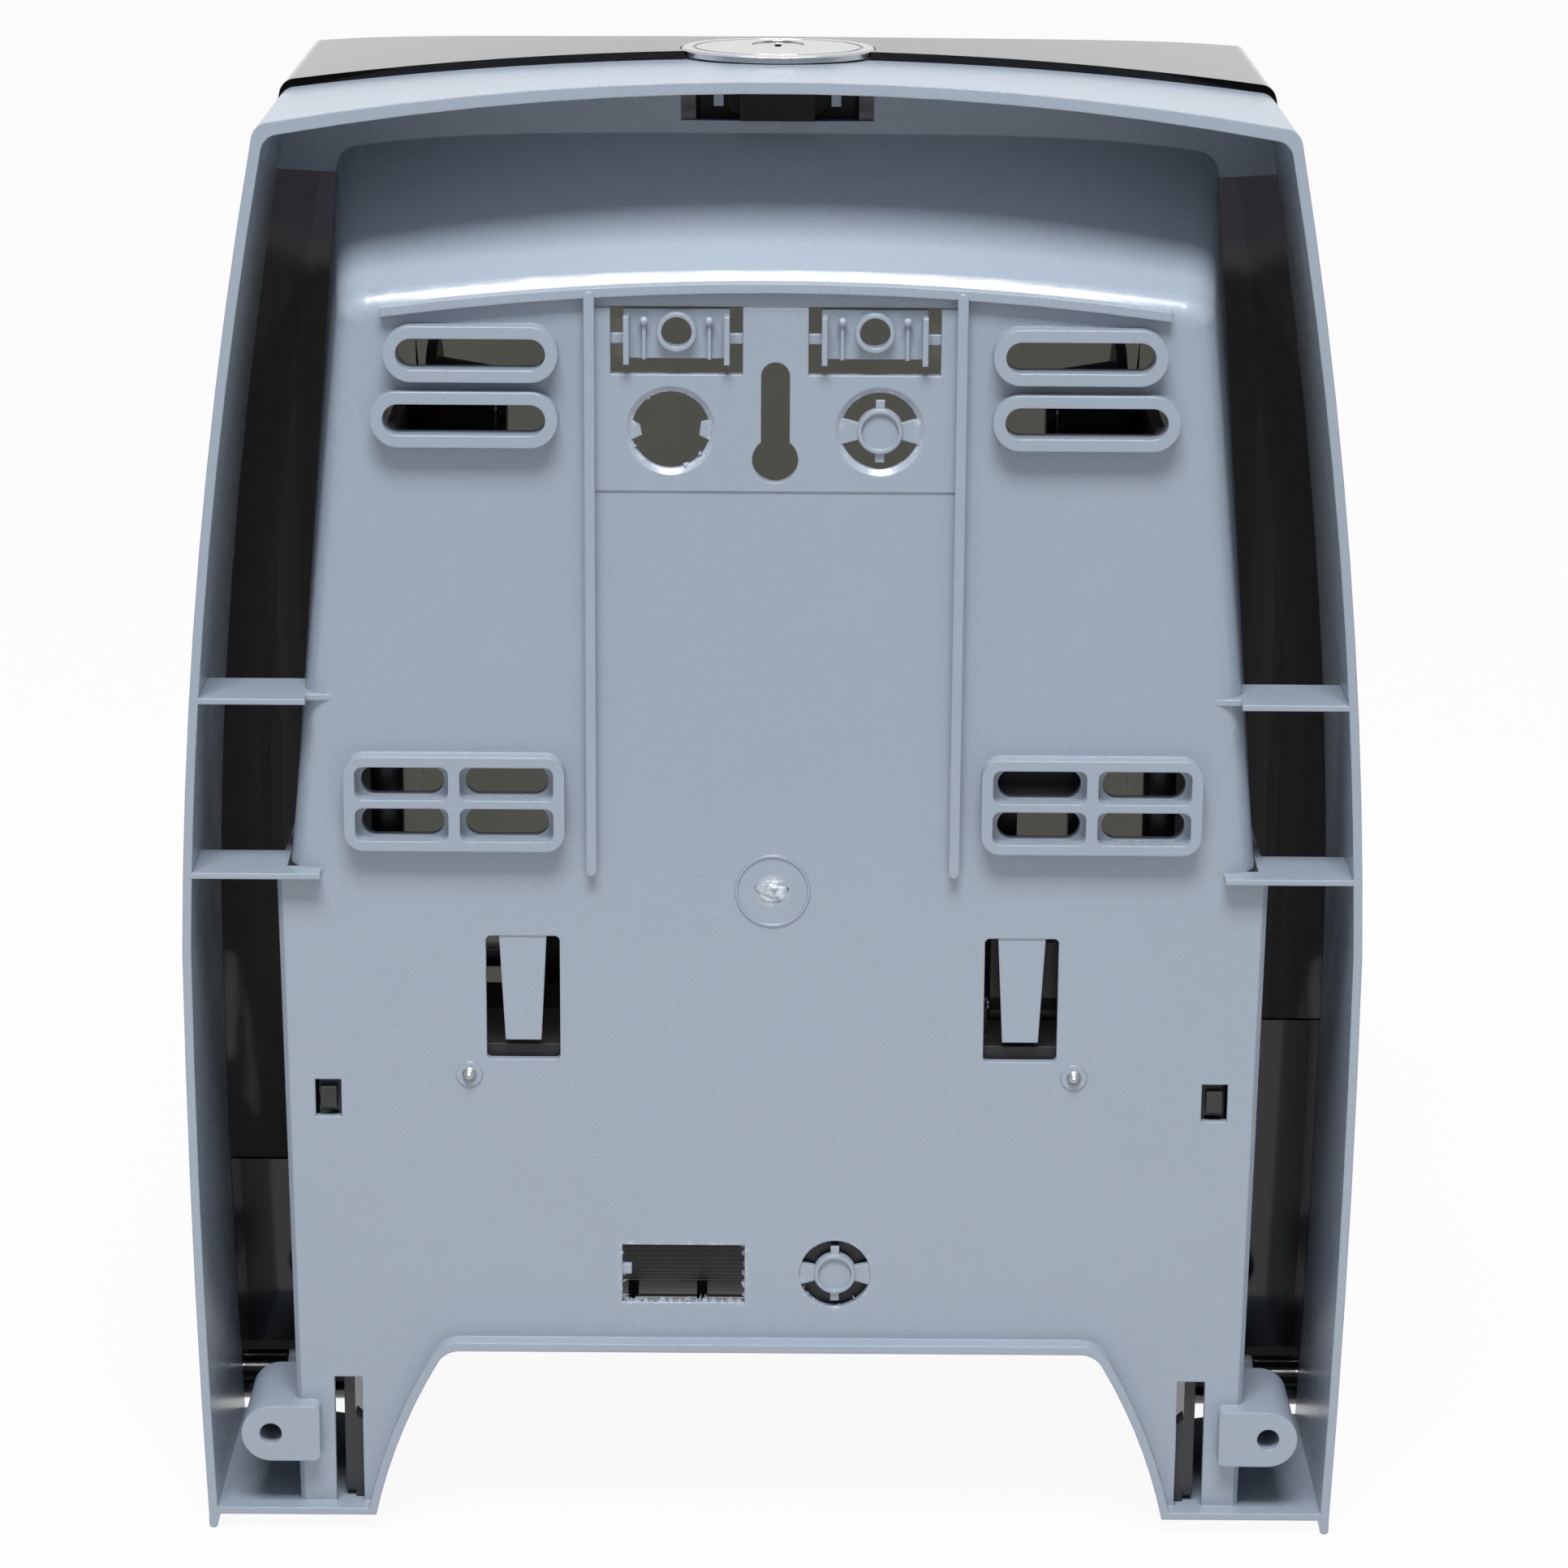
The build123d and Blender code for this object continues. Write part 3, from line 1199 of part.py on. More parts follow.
with BuildPart() as knife_blade:
    with BuildSketch(knife_plane):
        with BuildLine():
            teeth = [(-knife_half + 1, knife_pin_at + 0.3)]
            for k in range(tooth_count):
                tooth_x = -knife_half + 1 + k * tooth_pitch
                teeth += [(tooth_x, blade_root), (tooth_x + tooth_pitch / 2, blade_tip)]
            teeth += [(knife_half - 1, blade_root), (knife_half - 1, knife_pin_at + 0.3)]
            Polyline(teeth, close=True)
        make_face()
    extrude(amount=blade_wall / 2, both=True)
save(knife_blade.part, "knife_blade")

with BuildPart() as cam_rollers:
    for side in (-1, 1):
        with BuildSketch(across(side, knife_half + 0.2, cam_half + cam_track_deep - 0.6)):
            with Locations(drum_at(knife_pin_at)):
                Circle(knife_pin_radius)
        extrude(amount=cam_half + cam_track_deep - 0.8 - knife_half)
        with BuildSketch(across(side, cam_half + 0.3, cam_half + cam_track_deep - 0.3)):
            with Locations(drum_at(knife_pin_at)):
                Circle(roller_radius)
        extrude(amount=cam_track_deep - 0.6)
save(cam_rollers.part, "cam_rollers")


# Pinch roller above the drum

with BuildPart() as pinch_shaft:
    add(cylinder_x(-pinch_half, pinch_half, pinch_depth, pinch_z, shaft_radius))
save(pinch_shaft.part, "pinch_shaft")

with BuildPart() as pinch_rollers:
    for middle in (-60, 0, 60):
        add(cylinder_x(middle - pinch_long / 2, middle + pinch_long / 2, pinch_depth, pinch_z, pinch_radius))
    add(cylinder_x(-pinch_half, pinch_half, pinch_depth, pinch_z, shaft_radius + running_gap), mode=Mode.SUBTRACT)
save(pinch_rollers.part, "pinch_rollers")

with BuildPart() as pinch_bushes:
    for side in (-1, 1):
        add(cylinder_x(side * (frame_half - 0.6), side * (frame_half + frame_wall + 1), pinch_depth, pinch_z,
                       pinch_bush))
        add(cylinder_x(side * (frame_half + frame_wall + seat_gap), side * (frame_half + frame_wall + 6),
                       pinch_depth, pinch_z, pinch_bush + 2))
    add(cylinder_x(-width, width, pinch_depth, pinch_z, shaft_radius + running_gap), mode=Mode.SUBTRACT)
save(pinch_bushes.part, "pinch_bushes")

with BuildPart() as pinch_springs:
    spring_foot = pinch_z + pinch_bush + 2 + 0.2
    spring_high = floor_z + frame_top - 3 - 0.2 - spring_foot
    for side in (-1, 1):
        spring_x = side * (frame_half + frame_wall + 3.2)
        for turn in range(4):
            with Locations((spring_x, -pinch_depth, spring_foot + 0.45 + turn * (spring_high - 0.9) / 3)):
                Torus(2.5, 0.45)
        for turn in range(3):
            with Locations((spring_x + 2.5, -pinch_depth, spring_foot + 0.45 + (turn + 0.5) * (spring_high - 0.9) / 3)):
                Cylinder(0.4, (spring_high - 0.9) / 3)
save(pinch_springs.part, "pinch_springs")


# Stripper comb behind the drum and towel chute below it

with BuildPart() as stripper_comb:
    comb_z = floor_z + comb_rise
    with BuildSketch(Plane.YZ.offset(-frame_half + 1.2)):
        with Locations(Location((-comb_depth, comb_z, 0), (0, 0, -43))):
            RectangleRounded(8, 5, 1)
    extrude(amount=2 * (frame_half - 1.2))
    reach = hypot(drum_depth - comb_depth, drum_rise - comb_rise)
    with BuildSketch(Plane.YZ.offset(-comb_half)):
        with Locations(Location((-comb_depth, comb_z, 0), (0, 0, 180 - comb_lean))):
            with Locations(((reach - drum_radius - 1.8) / 2, 0)):
                Rectangle(reach - drum_radius - 1.8, 3.2)
    extrude(amount=2 * comb_half)
    with BuildSketch(Plane.XZ):
        with Locations((0, comb_z)):
            with GridLocations(comb_half / 5, 1, 10, 1):
                Rectangle(comb_half / 5 - 3, height)
    extrude(amount=depth, mode=Mode.SUBTRACT)
    with BuildSketch(Plane.YZ.offset(-frame_half + 1.2)):
        with Locations(Location((-comb_depth, comb_z, 0), (0, 0, -43))):
            RectangleRounded(8, 5, 1)
    extrude(amount=2 * (frame_half - 1.2))
    add(cylinder_x(-frame_half - frame_wall, frame_half + frame_wall, comb_depth, comb_z, comb_peg))
save(stripper_comb.part, "stripper_comb")

with BuildPart() as towel_chute:
    for side in (-1, 1):
        with BuildSketch(across(side, cheek_half, cheek_half + 2)) as cheek:
            with BuildLine():
                Polyline(low(106, 23.3), low(150, 2.6), low(177, 2.6), low(169, 65.3), low(152, 45.3),
                         low(120, 28.3), close=True)
            make_face()
            fillet(cheek.vertices(), radius=1.5)
        extrude(amount=2)
        with BuildSketch(across(side, cheek_half, frame_half + frame_wall)):
            for forward, up in chute_pegs:
                with Locations(low(forward, up)):
                    Circle(chute_peg)
        extrude(amount=frame_half + frame_wall - cheek_half)
        with BuildSketch(across(side, cheek_half, frame_half - seat_gap)):
            for forward, up in chute_pegs:
                with Locations(low(forward, up)):
                    Circle(chute_peg + 1.6)
        extrude(amount=frame_half - seat_gap - cheek_half)
    with BuildSketch(Plane.YZ.offset(-cheek_half - 1)):
        with BuildLine():
            Polyline(low(106, 23.3), low(150, 2.6), low(150, 4.9), low(106.5, 25.4), close=True)
        make_face()
        with BuildLine():
            Polyline(low(177, 2.6), low(169, 65.3), low(167, 65.3), low(174.8, 2.6), close=True)
        make_face()
    extrude(amount=2 * cheek_half + 2)
save(towel_chute.part, "towel_chute")


# Transfer bar and stub-roll feeler

with BuildPart() as transfer_bar:
    for side in (-1, 1):
        with BuildSketch(across(side, transfer_half, transfer_half + 3)):
            add(link_view(transfer_pivot, transfer_bar_at, 4.5, 5.0))
        extrude(amount=3)
        with BuildSketch(across(side, transfer_half, frame_half + frame_wall)):
            with Locations(low(transfer_pivot[0], transfer_pivot[1])):
                Circle(transfer_pin)
        extrude(amount=frame_half + frame_wall - transfer_half)
    add(cylinder_x(-transfer_half - 1, transfer_half + 1, transfer_bar_at[0], floor_z + transfer_bar_at[1],
                   shaft_radius))
save(transfer_bar.part, "transfer_bar")

with BuildPart() as transfer_pads:
    for middle in (-75, -25, 25, 75):
        add(cylinder_x(middle - 12, middle + 12, transfer_bar_at[0], floor_z + transfer_bar_at[1], 6.5,
                       shaft_radius + running_gap))
save(transfer_pads.part, "transfer_pads")

with BuildPart() as roll_follower:
    with BuildSketch(Plane.YZ.offset(follower_mid - follower_wide / 2)):
        with BuildLine():
            Polyline(low(14, 150), low(14, 222), low(17, 228), low(21, 226), low(19.5, 170), low(25, 147),
                     low(19, 143), close=True)
        make_face()
        with Locations(low(follower_pivot[0], follower_pivot[1])):
            Circle(4.5)
            Circle(follower_pin_radius + running_gap, mode=Mode.SUBTRACT)
    extrude(amount=follower_wide)
    with BuildSketch(Plane.XZ):
        with Locations((follower_mid, floor_z + 186)):
            RectangleRounded(14, 40, 4)
    extrude(amount=depth / 2, mode=Mode.SUBTRACT)
save(roll_follower.part, "roll_follower")

with BuildPart() as follower_pin:
    reach_x = follower_wide / 2 + 1.8 + 1.25
    add(cylinder_x(follower_mid - reach_x - 1, follower_mid + reach_x + 1, follower_pivot[0],
                   floor_z + follower_pivot[1], follower_pin_radius))
    add(cylinder_x(follower_mid + reach_x + 0.1, follower_mid + reach_x + 1.3, follower_pivot[0],
                   floor_z + follower_pivot[1], follower_pin_radius + 1.4))
save(follower_pin.part, "follower_pin")


# Roll arms with their hubs

for side, name in sides_and_names:
    save(roll_arm(side), f"roll_arm_{name}")
    save(roll_hub(side), f"roll_hub_{name}")
    with BuildPart() as hub_clip:
        with BuildSketch(across(side, clip_half, clip_half + 1.0)):
            with Locations(at(roll_depth, roll_z)):
                Circle(axle_radius + 3)
                Circle(axle_radius - 0.9, mode=Mode.SUBTRACT)
            with Locations(at(roll_depth + axle_radius + 1, roll_z)):
                Rectangle(8, 5, mode=Mode.SUBTRACT)
        extrude(amount=1.0)
    save(hub_clip.part, f"hub_clip_{name}")

with BuildPart() as arm_pins:
    pin_foot = arm_z[0] - seat_gap - ear_wall
    pin_high = arm_z[1] + seat_gap + ear_wall - pin_foot
    with BuildSketch(Plane.XY.offset(pin_foot)):
        with Locations((-arm_half, -arm_pivot_depth), (arm_half, -arm_pivot_depth)):
            Circle(arm_pin)
    extrude(amount=pin_high + 0.6)
    with BuildSketch(Plane.XY.offset(pin_foot + pin_high + 0.1)):
        with Locations((-arm_half, -arm_pivot_depth), (arm_half, -arm_pivot_depth)):
            Circle(arm_pin + 1.2)
    extrude(amount=1.4)
save(arm_pins.part, "arm_pins")


# Front cover and its hinge pins

with BuildPart() as front_cover:
    add(cover_form(0))
    add(cover_form(cover_wall), mode=Mode.SUBTRACT)
    with BuildSketch(Plane.XY.offset(tip_z - 20)):
        add(in_front_of_seam(seam_gap))
    extrude(amount=height + 60, mode=Mode.INTERSECT)
    # Bottom opening for the towel and the reach inside
    with BuildSketch(Plane.XY.offset(tip_z)):
        with Locations((0, -cover_mouth_mid)):
            Rectangle(2 * cover_mouth_half, cover_mouth_long)
        for side in (-1, 1):
            with Locations((side * (hinge_tab_half - 1), -hinge_depth)):
                Rectangle(hinge_tab + 3, 2 * hinge_nose + 5)
    extrude(amount=14, mode=Mode.SUBTRACT)
    # Hinge bosses, webs beside them, and bosses for the lock case
    for side in (-1, 1):
        with BuildSketch(across(side, hinge_tab_half + hinge_tab / 2 + 0.5, foot_x - cover_wall / 2)):
            with Locations(low(hinge_depth, hinge_rise)):
                Circle(hinge_nose)
        extrude(amount=foot_x - cover_wall / 2 - hinge_tab_half - hinge_tab / 2 - 0.5)
        with BuildSketch(across(side, hinge_tab_half, hinge_tab_half + 11)):
            with Locations(low(hinge_depth, hinge_rise)):
                Circle(hinge_pin + running_gap)
        extrude(amount=11, mode=Mode.SUBTRACT)
    for side in (-1, 1):
        add(cover_web(side))
    with BuildSketch(Plane.XY.offset(screw_flange_z + seat_gap)):
        with Locations((-screw_boss_half, -lock_depth), (screw_boss_half, -lock_depth)):
            Circle(4)
    extrude(amount=top_z - cover_wall / 2 - screw_flange_z - seat_gap - 1)
    with BuildSketch(Plane.XY.offset(screw_flange_z - 5)):
        with Locations((-screw_boss_half, -lock_depth), (screw_boss_half, -lock_depth)):
            Circle(lock_screw_radius + running_gap)
    extrude(amount=top_z - screw_flange_z + 3.5, mode=Mode.SUBTRACT)
    with BuildSketch(Plane.XY.offset(top_z - 2 * cover_wall)):
        with Locations((0, -plate_mid_depth)):
            Ellipse(lock_oval[0] / 2 + seat_gap, lock_oval[1] / 2 + seat_gap)
    extrude(amount=4 * cover_wall, mode=Mode.SUBTRACT)
save(front_cover.part, "front_cover")

with BuildPart() as cover_hinge_pins:
    for side in (-1, 1):
        inner = hinge_tab_half - hinge_tab / 2
        add(cylinder_x(side * (inner - 1), side * (inner + hinge_tab + 8), hinge_depth, hinge_z, hinge_pin))
        add(cylinder_x(side * (inner - 2.2), side * (inner - 0.2), hinge_depth, hinge_z, hinge_pin + 2))
save(cover_hinge_pins.part, "cover_hinge_pins")


# Lock plate, lock case, cylinder, bolt and spring

with BuildPart() as lock_plate:
    with BuildSketch(Plane.XY.offset(top_z - lock_oval_wall)):
        with Locations((0, -plate_mid_depth)):
            Ellipse(lock_oval[0] / 2, lock_oval[1] / 2)
    extrude(amount=lock_oval_wall)
    rim = lock_plate.faces().sort_by(Axis.Z)[-1].edges()
    chamfer(rim, length=0.5)
    with BuildSketch(Plane.XY.offset(case_z[1] + seat_gap)):
        with Locations((0, -lock_depth)):
            Circle(lock_radius + 2.4)
    extrude(amount=top_z - lock_oval_wall - case_z[1] - seat_gap)
    with BuildSketch(Plane.XY.offset(case_z[1])):
        with Locations((0, -lock_depth)):
            Circle(lock_radius + 2 * running_gap)
    extrude(amount=10, mode=Mode.SUBTRACT)
    # A plain raised ring around the keyway
    with BuildSketch(Plane.XY.offset(top_z - 0.5)):
        with Locations((0, -plate_mid_depth)):
            Ellipse(lock_oval[0] / 2 - 3, lock_oval[1] / 2 - 3)
            Ellipse(lock_oval[0] / 2 - 4, lock_oval[1] / 2 - 4, mode=Mode.SUBTRACT)
    extrude(amount=0.5, mode=Mode.SUBTRACT)
save(lock_plate.part, "lock_plate")

with BuildPart() as lock_case:
    with BuildSketch(Plane.XY.offset(case_z[0])):
        with Locations((0, -(case_depth[0] + case_depth[1]) / 2)):
            Rectangle(2 * case_half, case_depth[1] - case_depth[0])
    extrude(amount=case_z[1] - case_z[0])
    fillet(lock_case.edges().filter_by(Axis.Z), radius=2)
    with BuildSketch(Plane.XY.offset(screw_flange_z - 2.3)):
        with Locations((0, -lock_depth)):
            RectangleRounded(2 * (screw_boss_half + 5), 14, 3)
    extrude(amount=2.3)
    with BuildSketch(Plane.XY.offset(cylinder_foot_z)):
        with Locations((0, -lock_depth)):
            Circle(lock_radius + running_gap)
    extrude(amount=20, mode=Mode.SUBTRACT)
    with BuildSketch(Plane.XY.offset(case_z[0] + 1.7)):
        with Locations((0, -(case_depth[0] + 3.9))):
            Rectangle(2 * bolt_arm_half + 0.8, 9.8)
    extrude(amount=cylinder_foot_z - case_z[0] - 1.2, mode=Mode.SUBTRACT)
    with BuildSketch(Plane.XY.offset(screw_flange_z - 5)):
        with Locations((-screw_boss_half, -lock_depth), (screw_boss_half, -lock_depth)):
            Circle(lock_screw_radius + running_gap)
    extrude(amount=10, mode=Mode.SUBTRACT)
save(lock_case.part, "lock_case")

with BuildPart() as lock_screws:
    with BuildSketch(Plane.XY.offset(screw_flange_z - 2.4 - 1.8)):
        with Locations((-screw_boss_half, -lock_depth), (screw_boss_half, -lock_depth)):
            Circle(2.5)
    extrude(amount=1.8)
    with BuildSketch(Plane.XY.offset(screw_flange_z - 3)):
        with Locations((-screw_boss_half, -lock_depth), (screw_boss_half, -lock_depth)):
            Circle(lock_screw_radius)
    extrude(amount=9.5)
save(lock_screws.part, "lock_screws")

with BuildPart() as lock_cylinder:
    with BuildSketch(Plane.XY.offset(cylinder_foot_z + 0.2)):
        with Locations((0, -lock_depth)):
            Circle(lock_radius)
    extrude(amount=top_z - 0.3 - cylinder_foot_z - 0.2)
    with BuildSketch(Plane.XY.offset(top_z - 6)):
        with Locations((0, -lock_depth)):
            Rectangle(1.5, 7)
            Circle(1.3)
    extrude(amount=10, mode=Mode.SUBTRACT)
save(lock_cylinder.part, "lock_cylinder")

with BuildPart() as latch_bolt:
    plate_back = seam_mid + 0.8
    with BuildSketch(Plane.XZ.offset(plate_back)) as bolt_view:
        with Locations((0, (bolt_z[0] + bolt_z[1]) / 2)):
            Rectangle(2 * bolt_half, bolt_z[1] - bolt_z[0])
        fillet(bolt_view.vertices().group_by(Axis.Y)[0], radius=4.5)
    extrude(amount=bolt_wall)
    with BuildSketch(Plane.YZ.offset(-bolt_nose_half)):
        with BuildLine():
            nose_back = seam_mid - band_wall - 3.5
            nose_stop = seam_mid - band_wall - 0.8
            Polyline(at(plate_back + 0.5, bolt_nose_z[0]), at(nose_back, bolt_nose_z[0]),
                     at(nose_back, bolt_nose_z[1] + bolt_upstand), at(nose_stop, bolt_nose_z[1] + bolt_upstand),
                     at(nose_stop, bolt_nose_z[1]), at(plate_back + 0.5, bolt_nose_z[1]), close=True)
        make_face()
    extrude(amount=2 * bolt_nose_half)
    with BuildSketch(Plane.XY.offset(bolt_arm_z)):
        with Locations((0, -(plate_back + 1 + 5))):
            Rectangle(2 * bolt_arm_half, 10)
    extrude(amount=2)
save(latch_bolt.part, "latch_bolt")

with BuildPart() as latch_spring:
    coil_foot = case_z[0] + 1.7 + 0.2
    coil_high = bolt_arm_z - 0.2 - coil_foot
    coil_turns = 5
    for turn in range(coil_turns + 1):
        with Locations((0, -spring_depth, coil_foot + 0.3 + turn * (coil_high - 0.6) / coil_turns)):
            Torus(1.9, 0.3)
    for turn in range(coil_turns):
        with Locations((1.9, -spring_depth, coil_foot + 0.3 + (turn + 0.5) * (coil_high - 0.6) / coil_turns)):
            Cylinder(0.28, (coil_high - 0.6) / coil_turns)
save(latch_spring.part, "latch_spring")
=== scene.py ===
# %% [markdown]
# # Hard roll towel dispenser, seen from the wall side
#
# The imported model of the dispenser is the fixed frame of this scene. Each of its pieces
# keeps its shape and gets a finish made of nodes here, and small pieces that are too fine
# for the frame, such as coils and burrs, are added around them. The grip ribs are a bump in
# the rubber's finish.

# %% Load the frame
import json
import math
import bmesh
import bpy
from mathutils import Matrix, Vector


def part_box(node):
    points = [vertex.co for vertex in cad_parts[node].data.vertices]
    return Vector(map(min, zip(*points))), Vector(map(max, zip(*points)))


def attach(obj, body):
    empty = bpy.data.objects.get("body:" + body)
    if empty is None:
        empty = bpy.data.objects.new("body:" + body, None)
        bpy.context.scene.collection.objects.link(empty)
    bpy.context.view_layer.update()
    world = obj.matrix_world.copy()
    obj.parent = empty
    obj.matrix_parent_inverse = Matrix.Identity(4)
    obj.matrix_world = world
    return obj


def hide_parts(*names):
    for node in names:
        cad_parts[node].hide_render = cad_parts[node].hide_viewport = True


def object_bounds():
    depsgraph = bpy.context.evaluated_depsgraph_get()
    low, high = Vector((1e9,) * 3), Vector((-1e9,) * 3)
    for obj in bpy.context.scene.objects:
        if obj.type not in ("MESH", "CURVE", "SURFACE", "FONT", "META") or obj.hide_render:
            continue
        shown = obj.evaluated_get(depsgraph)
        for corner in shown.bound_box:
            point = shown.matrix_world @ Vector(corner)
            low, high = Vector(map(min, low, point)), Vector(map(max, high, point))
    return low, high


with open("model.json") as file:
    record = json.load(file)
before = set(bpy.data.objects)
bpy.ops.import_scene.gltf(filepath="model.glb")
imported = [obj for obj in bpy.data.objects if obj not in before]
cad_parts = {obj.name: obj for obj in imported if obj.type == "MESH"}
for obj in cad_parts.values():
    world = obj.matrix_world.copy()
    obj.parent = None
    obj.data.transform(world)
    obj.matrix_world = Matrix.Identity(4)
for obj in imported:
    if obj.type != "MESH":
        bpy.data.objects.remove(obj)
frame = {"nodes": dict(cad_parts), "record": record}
nodes = frame["nodes"]
cad_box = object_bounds()
print("frame:", len(nodes), "pieces, box", cad_box)

# %% [markdown]
# ## Camera
#
# The dispenser stands upright and is photographed from behind, from a little above it, with
# a long lens. The camera therefore stands 1.226 m behind the wall plane and 0.235 m above
# the origin and looks down by 16 degrees. A very small roll follows the picture.

# %% Camera behind the dispenser
camera_data = bpy.data.cameras.new("camera")
camera_data.sensor_width = 36.0
camera_data.lens = 36.0 * 5841 / 1932
camera = bpy.data.objects.new("camera", camera_data)
bpy.context.scene.collection.objects.link(camera)
camera.matrix_world = (Matrix.Translation((-0.0029, 1.226, 0.235))
                       @ Matrix.Rotation(math.radians(180), 4, "Z")
                       @ Matrix.Rotation(math.radians(90 - 16), 4, "X")
                       @ Matrix.Rotation(math.radians(0.37), 4, "Z"))
bpy.context.scene.camera = camera
bpy.context.scene.view_settings.view_transform = "Standard"
print("camera lens", round(camera_data.lens, 2), "mm")

# %% [markdown]
# ## Working with shader sockets
#
# A finish is a small sum: a base colour, plus a little speckle, times some wear. Written as
# nodes one by one that is hard to read. The class below wraps a socket, so that the sum can
# be typed as Python arithmetic and each operator adds one Math node.

# %% A socket that can be added and multiplied
class Wire:
    """A shader socket that ordinary arithmetic works on."""

    def __init__(self, tree, socket=None):
        self.tree = tree
        self.socket = socket

    def node(self, kind, settings=None, sockets=None, out=0):
        """Any node: its type, its settings, then the values or links of its sockets."""
        made = self.tree.nodes.new(kind)
        for name, value in (settings or {}).items():
            setattr(made, name, value)
        for key, value in (sockets or {}).items():
            if isinstance(value, Wire):
                self.tree.links.new(value.socket, made.inputs[key])
            else:
                made.inputs[key].default_value = value
        return Wire(self.tree, made.outputs[out])

    def maths(self, operation, first, second=0.0, third=0.0):
        return self.node("ShaderNodeMath", {"operation": operation}, {0: first, 1: second, 2: third})

    def __add__(self, other):
        return self.maths("ADD", self, other)

    def __radd__(self, other):
        return self.maths("ADD", other, self)

    def __sub__(self, other):
        return self.maths("SUBTRACT", self, other)

    def __mul__(self, other):
        return self.maths("MULTIPLY", self, other)

    def __rmul__(self, other):
        return self.maths("MULTIPLY", other, self)

    def __pow__(self, other):
        return self.maths("POWER", self, other)

    def __abs__(self):
        return self.maths("ABSOLUTE", self)

    def ramp(self, low, high):
        """0 below low, 1 above high, and smooth between them; the other way round if low is above high."""
        return self.node("ShaderNodeMapRange", {"interpolation_type": "SMOOTHSTEP"},
                         {0: self, 1: low, 2: high, 3: 0.0, 4: 1.0})

    def mix(self, first, second):
        """A colour between two colours, by this value."""
        return self.node("ShaderNodeMix", {"data_type": "RGBA"}, {0: self, 6: first, 7: second}, out=2)


def colour(red, green, blue):
    return (red, green, blue, 1.0)


def place(start):
    """The three coordinates of a point on the piece, in metres."""
    where = start.node("ShaderNodeTexCoord", out=3)
    split = start.tree.nodes.new("ShaderNodeSeparateXYZ")
    start.tree.links.new(where.socket, split.inputs[0])
    return where, [Wire(start.tree, split.outputs[k]) for k in range(3)]


def noise(start, where, scale, detail=2.0, rough=0.5):
    return start.node("ShaderNodeTexNoise", {"noise_dimensions": "3D"},
                      {"Vector": where, "Scale": scale, "Detail": detail, "Roughness": rough})


def new_finish(name, base, roughness, metallic=0.0, **fixed):
    """A material with its Principled node set to plain values, ready for detail."""
    material = bpy.data.materials.new(name)
    material.use_nodes = True
    shader = material.node_tree.nodes["Principled BSDF"]
    shader.inputs["Base Color"].default_value = base
    shader.inputs["Roughness"].default_value = roughness
    shader.inputs["Metallic"].default_value = metallic
    for socket, value in fixed.items():
        shader.inputs[socket.replace("_", " ")].default_value = value
    return material, shader, Wire(material.node_tree)


def feed(shader, socket, wire):
    wire.tree.links.new(wire.socket, shader.inputs[socket])


def relief(start, height, distance, strength=1.0, rounding=0.0):
    """A bump; its edges are rounded off by rounding metres where that is given."""
    sockets = {"Height": height, "Distance": distance, "Strength": strength}
    if rounding:
        sockets["Normal"] = start.node("ShaderNodeBevel", {"samples": 4}, {"Radius": rounding})
    return start.node("ShaderNodeBump", None, sockets)


# %% [markdown]
# ## The housing's grey plastic
#
# The housing is one satin moulding in a cool blue grey. Close up it has a fine speckle, a
# very faint cloudiness where the melt flowed, edges that catch the light, and places where
# the plastic was bent or torn and turned white. All of it is worked out from the place on
# the piece, so it also holds on every other side.

# %% Where the grey plastic turned white
TORN_EDGES = (  # middle across, middle up, half width, half height of each opened place
    (0.0242, -0.2600, 0.0170, 0.0086),
    (-0.0179, -0.2598, 0.0099, 0.0099),
    (0.0277, -0.0209, 0.0104, 0.0104),
    (-0.0277, -0.0209, 0.0104, 0.0104),
)
GATE_AT = (0.0, -0.1483)
GREY = (0.285, 0.335, 0.405)
TORN_REACH = 0.0016


def beside(x, z, middle_x, middle_z, half_x, half_z, reach):
    """1 on the outline of a hole in the plate, falling to 0 at reach from it.

    Equal halves mean a round hole.
    """
    if half_x == half_z:
        over = ((x - middle_x) ** 2.0 + (z - middle_z) ** 2.0) ** 0.5 - half_x
    else:
        over = x.maths("MAXIMUM", abs(x - middle_x) - half_x, abs(z - middle_z) - half_z)
    return abs(over).ramp(reach, 0.0)


